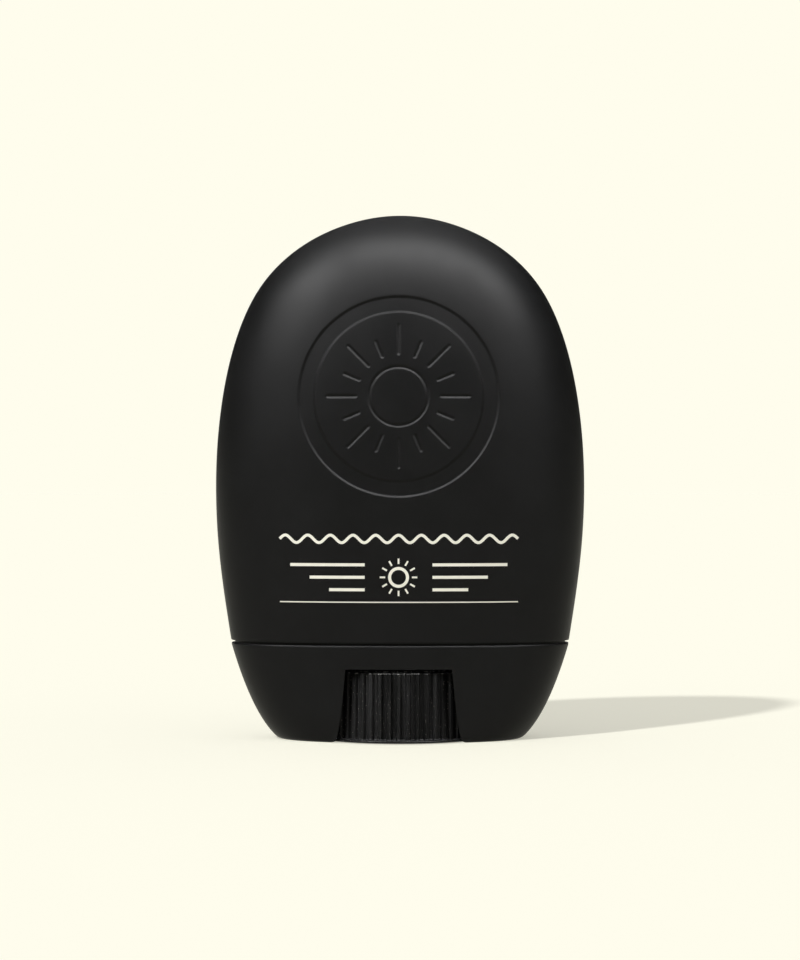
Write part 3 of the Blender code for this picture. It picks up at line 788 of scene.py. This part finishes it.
# %% [markdown]
# ## The print
#
# Low on the cap's front sits a small cream print. Here it is a plain seaside ornament: a row of waves, a
# little sun between two stacks of bars, and a thin rule. Ink is a very thin layer, and a strip of it is a
# path drawn on the cap with a width and a thickness. Each point of a strip is first placed in the plane of
# the front, then moved onto the cap along Y, and out along the cap's own normal by the ink's thickness.

# %% Ink on the cap
INK = 0.00002


def on_cap(x, z, lift):
    """The point on the cap's front at (x, z), moved out along the normal by the lift.

    The front is where |x / width|^2.2 + |y / depth|^2.2 = 1, with the width and the depth read from the crown
    at each height, and the normal is the slope of that sum in x, y and z.
    """
    width = np.interp(-z, -crown[:, 1], crown[:, 0])
    slope = np.interp(-z, -crown[:, 1], np.gradient(crown[:, 0], crown[:, 1]))
    depth = width * HALF_DEPTH / HALF_WIDTH
    across = np.abs(x / width)
    along = (1 - across**OVAL_POWER) ** (1 / OVAL_POWER)
    normal = np.stack((
        np.sign(x) * across ** (OVAL_POWER - 1) / width,
        -(along ** (OVAL_POWER - 1)) / depth,
        -slope / width,
    ), axis=-1)
    normal /= np.linalg.norm(normal, axis=-1, keepdims=True)
    point = np.stack((x, -along * depth, z), axis=-1)
    return point + normal * np.asarray(lift)[..., None]


def ink_strip(path, half, closed=False):
    """A strip of ink along a path of (x, z): rows of six points, three on top of the ink and three under it.

    The direction of the path is the difference of its neighbours, and the strip reaches the half width to
    each side at a right angle to it.
    """
    path = np.array(path, float)
    if closed:
        ahead = np.roll(path, -1, axis=0) - np.roll(path, 1, axis=0)
    else:
        ahead = np.gradient(path, axis=0)
    ahead /= np.linalg.norm(ahead, axis=1, keepdims=True)
    side = np.stack((-ahead[:, 1], ahead[:, 0]), axis=1)
    across = np.array([-1.0, 0.0, 1.0, 1.0, 0.0, -1.0])
    lift = np.array([INK, INK, INK, -INK, -INK, -INK])
    plane = path[:, None] + side[:, None] * across[None, :, None] * half
    lifts = np.broadcast_to(lift, plane.shape[:2])
    return on_cap(plane[..., 0], plane[..., 1], lifts)


# %% The ornament
PRINT_HALF_WIDTH = 0.0134
WAVE_HEIGHT = 0.0230
WAVE_RISE = 0.00042
WAVE_COUNT = 10.5
WAVE_HALF = 0.00016
GLYPH_HEIGHT = 0.0187
GLYPH_RADIUS = 0.0010
GLYPH_HALF = 0.00017
GLYPH_RAYS = 12
GLYPH_RAY = (0.0015, 0.0021)
GLYPH_RAY_HALF = 0.0001
BAR_HALF = 0.00017
BAR_STEP = 0.0014
BAR_START = 0.0038
BAR_ENDS = (0.0122, 0.0100, 0.0078)
RULE_HEIGHT = 0.0159
RULE_HALF = 0.00006
WAVE_POINTS = 800
RULE_POINTS = 120
GLYPH_POINTS = 120
RAY_POINTS = 6
BAR_POINTS = 40


def ornament():
    """The strips of the print, each with whether it closes on itself."""
    x = np.linspace(-PRINT_HALF_WIDTH, PRINT_HALF_WIDTH, WAVE_POINTS)
    wave = WAVE_HEIGHT + WAVE_RISE * np.cos(WAVE_COUNT * math.tau * x / (2 * PRINT_HALF_WIDTH))
    strips = [(ink_strip(np.stack((x, wave), axis=1), WAVE_HALF), False)]
    rule = np.linspace((-PRINT_HALF_WIDTH, RULE_HEIGHT), (PRINT_HALF_WIDTH, RULE_HEIGHT), RULE_POINTS)
    strips.append((ink_strip(rule, RULE_HALF), False))
    turn = even_turn(GLYPH_POINTS)
    ring = np.stack((np.sin(turn), np.cos(turn)), axis=1) * GLYPH_RADIUS + (0.0, GLYPH_HEIGHT)
    strips.append((ink_strip(ring, GLYPH_HALF, closed=True), True))
    for ray in range(GLYPH_RAYS):
        angle = ray * math.tau / GLYPH_RAYS
        way = np.array([math.sin(angle), math.cos(angle)])
        ends = [way * reach + (0.0, GLYPH_HEIGHT) for reach in GLYPH_RAY]
        strips.append((ink_strip(np.linspace(*ends, RAY_POINTS), GLYPH_RAY_HALF), False))
    for row, end in enumerate(BAR_ENDS):
        height = GLYPH_HEIGHT + (1 - row) * BAR_STEP
        for side in (-1, 1):
            bar = np.linspace((side * BAR_START, height), (side * end, height), BAR_POINTS)
            strips.append((ink_strip(bar, BAR_HALF), False))
    return strips


def joined(tables):
    """Points and faces of several (table, loop) pairs in one mesh, each turned to face outwards."""
    points, faces, count = [], [], 0
    for grid, loop in tables:
        own_points, own_faces = surface(grid, loop)
        points.append(own_points)
        faces += [tuple(corner + count for corner in face) for face in own_faces]
        count += len(own_points)
    return np.concatenate(points), faces


front_print = mesh_piece("front_print", *joined(ornament()))
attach(front_print, "cap")
print(len(front_print.data.polygons), "faces in the print")

# %% [markdown]
# ## Groups that the finishes share
#
# The finishes differ in colour and gloss, but they have four things in common: a fine moulded grain, faint
# marks from hands, a little dust, and an edge that may be worn, whose pale dashes on the wheel are partly a
# painted highlight. Each of those is a group of nodes with its own inputs, built once and then placed in each
# material with its own values. The patterns read object coordinates, which are metres here, so a scale of
# 9000 makes grains about a ninth of a millimetre across.

# %% Helpers for nodes
def node(tree, kind, values=(), **settings):
    """A node of a kind, with its settings, and with values set on its numbered or named inputs."""
    made = tree.nodes.new("ShaderNode" + kind)
    for key, value in settings.items():
        setattr(made, key, value)
    for key, value in dict(values).items():
        made.inputs[key].default_value = value
    return made


def join(tree, start, end):
    """A link from an output socket to an input socket."""
    tree.links.new(start, end)


def feed(tree, value, socket):
    """A link into an input where the value is a socket, or else the value set on the input."""
    if isinstance(value, bpy.types.NodeSocket):
        join(tree, value, socket)
    else:
        socket.default_value = value


def new_group(name, inputs, outputs):
    """An empty node group with named sockets: (name, kind, value) for inputs and (name, kind) for outputs."""
    tree = bpy.data.node_groups.new(name, "ShaderNodeTree")
    for label, kind, value in inputs:
        socket = tree.interface.new_socket(label, in_out="INPUT", socket_type="NodeSocket" + kind)
        socket.default_value = value
    for label, kind in outputs:
        tree.interface.new_socket(label, in_out="OUTPUT", socket_type="NodeSocket" + kind)
    return tree, tree.nodes.new("NodeGroupInput"), tree.nodes.new("NodeGroupOutput")


def noise_at(tree, size, detail=2.0, roughness=0.5, stretch=None):
    """A noise texture on object coordinates. Its size is a number or a socket, and its stretch a socket."""
    place = node(tree, "TexCoord").outputs["Object"]
    if stretch is not None:
        stretched = node(tree, "VectorMath", operation="MULTIPLY")
        join(tree, place, stretched.inputs[0])
        join(tree, stretch, stretched.inputs[1])
        place = stretched.outputs[0]
    noise = node(tree, "TexNoise", {"Detail": detail, "Roughness": roughness})
    join(tree, place, noise.inputs["Vector"])
    feed(tree, size, noise.inputs["Scale"])
    return noise.outputs["Fac"]


def remap(tree, value, from_low, from_high, to_low=0.0, to_high=1.0):
    """The value moved from one range to another along a smooth step."""
    step = node(tree, "MapRange", interpolation_type="SMOOTHSTEP")
    for index, number in enumerate((value, from_low, from_high, to_low, to_high)):
        feed(tree, number, step.inputs[index])
    return step.outputs[0]


def compute(tree, operation, first, second):
    """A Math node on two sockets or numbers."""
    made = node(tree, "Math", operation=operation)
    for index, value in enumerate((first, second)):
        feed(tree, value, made.inputs[index])
    return made.outputs[0]


def paint_over(tree, given, out, label, mask):
    """Mix a group's labelled colour over its plain one by a mask, and send the mix and the mask out."""
    mix = node(tree, "Mix", data_type="RGBA")
    join(tree, mask, mix.inputs["Factor"])
    join(tree, given.outputs["Colour"], mix.inputs[6])
    join(tree, given.outputs[label], mix.inputs[7])
    join(tree, mix.outputs[2], out.inputs["Colour"])
    join(tree, mask, out.inputs["Mask"])


# %% Grain, hand marks, dust, and wear with a painted highlight
COARSE_SHARE = 0.31
FINE_WEIGHT = 0.7
COARSE_WEIGHT = 0.3
PATCH_SCALE = 150.0
PATCH_RANGE = (0.35, 0.7)
STREAK_SCALE = 420.0
STREAK_RANGE = (0.3, 0.75)
SPECK_SIZES = (0.05, 0.16)
DASH_SCALE = 2400.0
DASH_FADE = 0.1


def make_grain():
    """Moulded grain: fine noise over a coarser one, as a height between 0 and 1."""
    tree, given, out = new_group("moulded_grain", [("Grain Scale", "Float", 9000.0)], [("Height", "Float")])
    scale = given.outputs["Grain Scale"]
    fine = noise_at(tree, scale, 2.0, 0.6)
    coarse = noise_at(tree, compute(tree, "MULTIPLY", scale, COARSE_SHARE), 1.0)
    fine_part = compute(tree, "MULTIPLY", fine, FINE_WEIGHT)
    coarse_part = compute(tree, "MULTIPLY", coarse, COARSE_WEIGHT)
    join(tree, compute(tree, "ADD", fine_part, coarse_part), out.inputs["Height"])
    return tree


def make_hand_marks():
    """Hand marks: soft patches that shift the roughness, and faint streaks that shift the colour.

    Both are drawn out along an axis where the stretch is under 1 there.
    """
    tree, given, out = new_group(
        "hand_marks",
        [
            ("Colour", "Color", (0.01, 0.01, 0.01, 1.0)),
            ("Roughness", "Float", 0.5),
            ("Amount", "Float", 0.06),
            ("Streaks", "Float", 0.14),
            ("Stretch", "Vector", (1.0, 1.0, 1.0)),
        ],
        [("Colour", "Color"), ("Roughness", "Float")],
    )
    stretch = given.outputs["Stretch"]
    patches = remap(tree, noise_at(tree, PATCH_SCALE, 3.0, 0.55, stretch), *PATCH_RANGE, -1.0, 1.0)
    shift = compute(tree, "MULTIPLY", patches, given.outputs["Amount"])
    join(tree, compute(tree, "ADD", given.outputs["Roughness"], shift), out.inputs["Roughness"])
    waves = remap(tree, noise_at(tree, STREAK_SCALE, 4.0, 0.6, stretch), *STREAK_RANGE, -1.0, 1.0)
    streaks = compute(tree, "ADD", compute(tree, "MULTIPLY", waves, given.outputs["Streaks"]), 1.0)
    tint = node(tree, "VectorMath", operation="SCALE")
    join(tree, given.outputs["Colour"], tint.inputs[0])
    join(tree, streaks, tint.inputs["Scale"])
    join(tree, tint.outputs[0], out.inputs["Colour"])
    return tree


def make_dust():
    """Dust: the middles of scattered cells, where the cell's random number is above a threshold."""
    tree, given, out = new_group(
        "dust_specks",
        [
            ("Colour", "Color", (0.01, 0.01, 0.01, 1.0)),
            ("Dust Colour", "Color", (0.24, 0.23, 0.21, 1.0)),
            ("Spacing Scale", "Float", 1500.0),
            ("Share Left Clean", "Float", 0.9),
        ],
        [("Colour", "Color"), ("Mask", "Float")],
    )
    place = node(tree, "TexCoord")
    cells = node(tree, "TexVoronoi", {"Randomness": 1.0})
    join(tree, place.outputs["Object"], cells.inputs["Vector"])
    join(tree, given.outputs["Spacing Scale"], cells.inputs["Scale"])
    parts = node(tree, "SeparateColor")
    join(tree, cells.outputs["Color"], parts.inputs[0])
    chosen = compute(tree, "GREATER_THAN", parts.outputs[0], given.outputs["Share Left Clean"])
    size = remap(tree, parts.outputs[1], 0.0, 1.0, *SPECK_SIZES)
    speck = compute(tree, "MULTIPLY", compute(tree, "LESS_THAN", cells.outputs["Distance"], size), chosen)
    paint_over(tree, given, out, "Dust Colour", speck)
    return tree


def make_worn_and_highlit_edge():
    """Worn edge with a painted highlight: pale broken dashes along a level edge, where noise is high and the
    height is near the edge's.
    """
    tree, given, out = new_group(
        "worn_and_highlit_edge",
        [
            ("Colour", "Color", (0.01, 0.01, 0.01, 1.0)),
            ("Worn And Highlight Colour", "Color", (0.2, 0.2, 0.19, 1.0)),
            ("Edge Height", "Float", 0.0),
            ("Reach", "Float", 0.0001),
            ("Share Left Whole", "Float", 1.0),
        ],
        [("Colour", "Color"), ("Mask", "Float")],
    )
    place = node(tree, "SeparateXYZ")
    join(tree, node(tree, "TexCoord").outputs["Object"], place.inputs[0])
    above = compute(tree, "SUBTRACT", place.outputs[2], given.outputs["Edge Height"])
    near = compute(tree, "LESS_THAN", compute(tree, "ABSOLUTE", above, 0.0), given.outputs["Reach"])
    whole = given.outputs["Share Left Whole"]
    faded = compute(tree, "ADD", whole, DASH_FADE)
    dashes = remap(tree, noise_at(tree, DASH_SCALE, 2.0, 0.7), whole, faded)
    # The pale colour painted in dashes along the edge is wear and a painted highlight.
    paint_over(tree, given, out, "Worn And Highlight Colour", compute(tree, "MULTIPLY", near, dashes))
    return tree


GROUPS = {
    "grain": make_grain(),
    "marks": make_hand_marks(),
    "dust": make_dust(),
    "wear_and_highlight": make_worn_and_highlit_edge(),
}
print("groups:", ", ".join(tree.name for tree in GROUPS.values()))

# %% [markdown]
# ## The finishes
#
# A finish here is a Principled shader fed by the four groups. What stays the same all over a surface, such
# as how strongly it mirrors or how far light sinks in, is set on the shader itself. What changes over the
# surface, the colour, the roughness and the grain, comes from the groups.

# %% One builder for all finishes
def placed(tree, group, labels, values):
    """A shared group placed in a material, with values set on its labelled inputs."""
    return node(tree, "Group", zip(labels, values), node_tree=GROUPS[group])


def finish(
    name, colour, roughness, marks=0.05, grain=(9000.0, 0.00001), dust=(1500.0, 1.0),
    streaks=0.14, stretch=(1.0, 1.0, 1.0), worn_and_highlit=(0.0, 0.0001, 1.0), **steady
):
    """A material: hand marks on the colour and roughness, dust and a worn edge with a painted highlight on
    the colour, grain into a bump.

    grain is its scale and its height in metres, dust its scale and the share of cells left clean. The edge
    argument gives the height of an edge painted with wear and with a highlight, how far from it the paint
    reaches and the share that is left plain.
    """
    material = bpy.data.materials.new(name)
    material.use_nodes = True
    tree = material.node_tree
    shader = tree.nodes["Principled BSDF"]
    for key, value in steady.items():
        shader.inputs[key.replace("_", " ")].default_value = value
    held = ("Colour", "Roughness", "Amount", "Streaks", "Stretch")
    hands = placed(tree, "marks", held, ((*colour, 1.0), roughness, marks, streaks, stretch))
    specks = placed(tree, "dust", ("Spacing Scale", "Share Left Clean"), dust)
    wear_and_highlight = placed(tree, "wear_and_highlight", ("Edge Height", "Reach", "Share Left Whole"), worn_and_highlit)
    texture = placed(tree, "grain", ("Grain Scale",), grain)
    bump = node(tree, "Bump", {"Strength": 1.0, "Distance": grain[1]})
    join(tree, hands.outputs["Colour"], specks.inputs["Colour"])
    join(tree, specks.outputs["Colour"], wear_and_highlight.inputs["Colour"])
    join(tree, wear_and_highlight.outputs["Colour"], shader.inputs["Base Color"])
    join(tree, hands.outputs["Roughness"], shader.inputs["Roughness"])
    join(tree, texture.outputs["Height"], bump.inputs["Height"])
    join(tree, bump.outputs["Normal"], shader.inputs["Normal"])
    return material


def dress(material, *pieces):
    """Put a material on pieces, in place of what they had."""
    for piece in pieces:
        piece.data.materials.clear()
        piece.data.materials.append(material)


# %% Black plastics
soft_touch = finish(
    "soft_touch_coat", (0.003, 0.003, 0.0031), 0.46, 0.03, (8000.0, 0.000008), (900.0, 1.0),
    Specular_IOR_Level=0.12,
)
# The wheel's top edge gets pale dashes, partly wear and partly a painted highlight.
wheel_plastic = finish(
    "wheel_plastic", (0.007, 0.007, 0.007), 0.42, 0.14, (6000.0, 0.000006), (4500.0, 0.45),
    streaks=0.5, stretch=(6.0, 6.0, 0.3), worn_and_highlit=(wheel_high.z, 0.00013, 0.5), Specular_IOR_Level=0.12,
)
barrel_plastic = finish(
    "barrel_plastic", (0.013, 0.013, 0.013), 0.36, 0.04, (5000.0, 0.000004), (1800.0, 0.99),
    Specular_IOR_Level=0.25,
)
liner_plastic = finish(
    "liner_plastic", (0.06, 0.06, 0.062), 0.4, 0.05, (5000.0, 0.000004),
    Specular_IOR_Level=0.3,
)
dress(soft_touch, cap_dome, base_body)
dress(wheel_plastic, wheel_ribs)
dress(barrel_plastic, barrel_tube)
dress(liner_plastic, liner_sleeve)

# %% Ink, seal, balm and the white works
ink = finish(
    "cream_ink", (0.87, 0.85, 0.75), 0.55, 0.04, (7000.0, 0.000005), streaks=0.04,
    Specular_IOR_Level=0.3,
)
seal_plastic = finish(
    "seal_plastic", (0.84, 0.84, 0.82), 0.44, 0.03, (3000.0, 0.000004), streaks=0.015,
    Specular_IOR_Level=0.15, Subsurface_Weight=0.35, Subsurface_Scale=0.0008,
)
balm_wax = finish(
    "balm_wax", (0.84, 0.79, 0.66), 0.45, 0.05, (1200.0, 0.000012), streaks=0.02,
    Specular_IOR_Level=0.15, Subsurface_Weight=0.5, Subsurface_Scale=0.0015,
)
works_plastic = finish(
    "works_plastic", (0.78, 0.78, 0.75), 0.4, 0.04, (4000.0, 0.000005), streaks=0.02,
    Specular_IOR_Level=0.15, Subsurface_Weight=0.2, Subsurface_Scale=0.0006,
)
dress(ink, front_print)
dress(seal_plastic, seal_dome)
dress(balm_wax, balm_block)
dress(works_plastic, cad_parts["elevator"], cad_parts["lead_screw"])
print(len(bpy.data.materials), "materials")

# %% [markdown]
# ## The floor
#
# The stick stands on a cream floor that runs on without an edge, so the floor and the sky behind it have the
# same colour in the picture. The floor glows a little by itself and is lit for the rest, so the colour stays
# even and the shadow of the stick still falls on it.

# %% Floor
CREAM = (1.0, 0.9823, 0.8469)
FLOOR_RADII = (0.05, 0.15, 0.5, 1.5, 6.0)
FLOOR_COLUMNS = 96
FLOOR_GLOW = 0.409
FLOOR_TINT = 0.693


def make_floor():
    """A flat disc: rings of points on circles, the radii growing outwards, and one point in the middle."""
    radii = np.array(FLOOR_RADII)
    turn = even_turn(FLOOR_COLUMNS)
    x = radii[:, None] * np.cos(turn)
    y = radii[:, None] * np.sin(turn)
    rings = np.stack((x, y, np.zeros_like(x)), axis=-1)
    points = np.concatenate((rings.reshape(-1, 3), np.zeros((1, 3))))
    faces = quads_of(len(radii), len(turn), False)[:, ::-1].tolist()
    after = np.roll(np.arange(len(turn)), -1)
    faces += np.stack((np.arange(len(turn)), after, np.full(len(turn), len(points) - 1)), axis=1).tolist()
    return mesh_piece("floor", points, faces)


def floor_material():
    """Diffuse cream plus a cream glow that only the camera, mirrors and glass see."""
    material = bpy.data.materials.new("floor_cream")
    material.use_nodes = True
    tree = material.node_tree
    tree.nodes.clear()
    output = node(tree, "OutputMaterial")
    body = node(tree, "BsdfDiffuse", {"Color": (*[FLOOR_TINT * value for value in CREAM], 1.0)})
    glow = node(tree, "Emission", {"Color": (*CREAM, 1.0)})
    seen = seen_by_eye(tree)
    join(tree, compute(tree, "MULTIPLY", seen, FLOOR_GLOW), glow.inputs["Strength"])
    both = node(tree, "AddShader")
    join(tree, body.outputs[0], both.inputs[0])
    join(tree, glow.outputs[0], both.inputs[1])
    join(tree, both.outputs[0], output.inputs["Surface"])
    return material


def seen_by_eye(tree):
    """1 for rays from the camera and for rays that a mirror or glass sends on, and 0 for the rest."""
    path = node(tree, "LightPath")
    first = compute(tree, "MAXIMUM", path.outputs["Is Camera Ray"], path.outputs["Is Glossy Ray"])
    return compute(tree, "MAXIMUM", first, path.outputs["Is Transmission Ray"])


floor = make_floor()
dress(floor_material(), floor)

# %% [markdown]
# ## The light
#
# The studio has a low sun from the front left, which lights what is matt and throws the shadow back to the
# right. What the black coat mirrors is drawn in the sky: an arch of soft light over the front, which lays the
# broad sheen along the shoulders of the cap, a round soft lamp on the left, which makes the sheen stronger
# there, a pale wall behind the stick, which gives its edges a thin line, and a dim ceiling. Round the camera
# the room is dark, so the flat front stays black. Matt surfaces see an even room instead.

# %% Sun and sky
SUN_STRENGTH = 2.2
SUN_HEADING = math.radians(57.5)
SUN_HEIGHT = math.radians(38.2)
SUN_SPREAD = math.radians(3.0)
FRONT = (-0.09, -0.9947, 0.05)
BACK = (0.0, 1.0, 0.0)
UP = (0.0, 0.0, 1.0)
RIGHT = (1.0, 0.0, 0.0)
ARCH_INNER = (0.66, 0.54)
ARCH_OUTER = (0.28, 0.40)
ARCH_FOOT = (0.2, 0.82)
ARCH_SIDE = (-0.8, 0.3)
ARCH_SIDE_LEVEL = 0.35
ARCH_STRENGTH = 30.1
SOFT_LAMP = (-0.570, -0.565, 0.597)
SOFT_LAMP_EDGES = (0.9703, 0.9945)
SOFT_LAMP_STRENGTH = 27.0
CEILING_EDGES = (0.55, 0.95)
CEILING_LEVEL = 0.9
WALL_EDGES = (0.97, 0.999)
DARK_LEVEL = 0.03
ROOM_LEVEL = 0.42


def make_sun():
    """A sun whose light goes towards the heading in plan and down by its height. Gloss doesn't mirror it."""
    data = bpy.data.lights.new("low_sun", "SUN")
    data.energy = SUN_STRENGTH
    data.angle = SUN_SPREAD
    lamp = bpy.data.objects.new("low_sun", data)
    lamp.visible_glossy = False
    lamp.rotation_euler = (math.pi / 2 - SUN_HEIGHT, 0.0, SUN_HEADING - math.pi / 2)
    bpy.context.scene.collection.objects.link(lamp)
    return lamp


def toward(tree, way, edges, low=0.0, high=1.0):
    """Low where a direction of the sky turns away from a way, and high where it agrees with it.

    How well they agree is their dot product, and the change lies between its two edges.
    """
    dot = node(tree, "VectorMath", {1: way}, operation="DOT_PRODUCT")
    join(tree, node(tree, "TexCoord").outputs["Generated"], dot.inputs[0])
    return remap(tree, dot.outputs["Value"], *edges, low, high)


def mirrored_room(tree):
    """The arch, a ring round the front cut off at its foot, with the lamp, the pale wall and the ceiling."""
    ring = compute(tree, "MULTIPLY", toward(tree, FRONT, ARCH_INNER), toward(tree, FRONT, ARCH_OUTER))
    side = toward(tree, RIGHT, ARCH_SIDE, ARCH_SIDE_LEVEL)
    cut = compute(tree, "MULTIPLY", toward(tree, UP, ARCH_FOOT), side)
    arch = compute(tree, "MULTIPLY", ring, cut)
    wall = toward(tree, BACK, WALL_EDGES)
    ceiling = toward(tree, UP, CEILING_EDGES, DARK_LEVEL, CEILING_LEVEL)
    lamp = toward(tree, SOFT_LAMP, SOFT_LAMP_EDGES, 0.0, SOFT_LAMP_STRENGTH)
    lit = compute(tree, "ADD", compute(tree, "MULTIPLY", arch, ARCH_STRENGTH), ceiling)
    return compute(tree, "MAXIMUM", compute(tree, "ADD", lit, lamp), wall)


def make_sky():
    """Cream for the camera and through glass, the mirrored room for gloss, an even room for the rest."""
    world = bpy.data.worlds.new("studio")
    world.use_nodes = True
    tree = world.node_tree
    tree.nodes.clear()
    path = node(tree, "LightPath")
    gloss = node(tree, "Mix", {2: ROOM_LEVEL}, data_type="FLOAT")
    join(tree, path.outputs["Is Glossy Ray"], gloss.inputs[0])
    join(tree, mirrored_room(tree), gloss.inputs[3])
    seen = node(tree, "Mix", {3: 1.0}, data_type="FLOAT")
    clear = compute(tree, "MAXIMUM", path.outputs["Is Camera Ray"], path.outputs["Is Transmission Ray"])
    join(tree, clear, seen.inputs[0])
    join(tree, gloss.outputs[0], seen.inputs[2])
    tint = node(tree, "Mix", {6: (1.0, 1.0, 1.0, 1.0), 7: (*CREAM, 1.0)}, data_type="RGBA")
    join(tree, clear, tint.inputs[0])
    sky = node(tree, "Background")
    join(tree, tint.outputs[2], sky.inputs["Color"])
    join(tree, seen.outputs[0], sky.inputs["Strength"])
    join(tree, sky.outputs[0], node(tree, "OutputWorld").inputs["Surface"])
    bpy.context.scene.world = world
    return world


sun = make_sun()
sky = make_sky()
bpy.context.scene.view_settings.view_transform = "Standard"
print("lights:", sun.name, "and", sky.name)
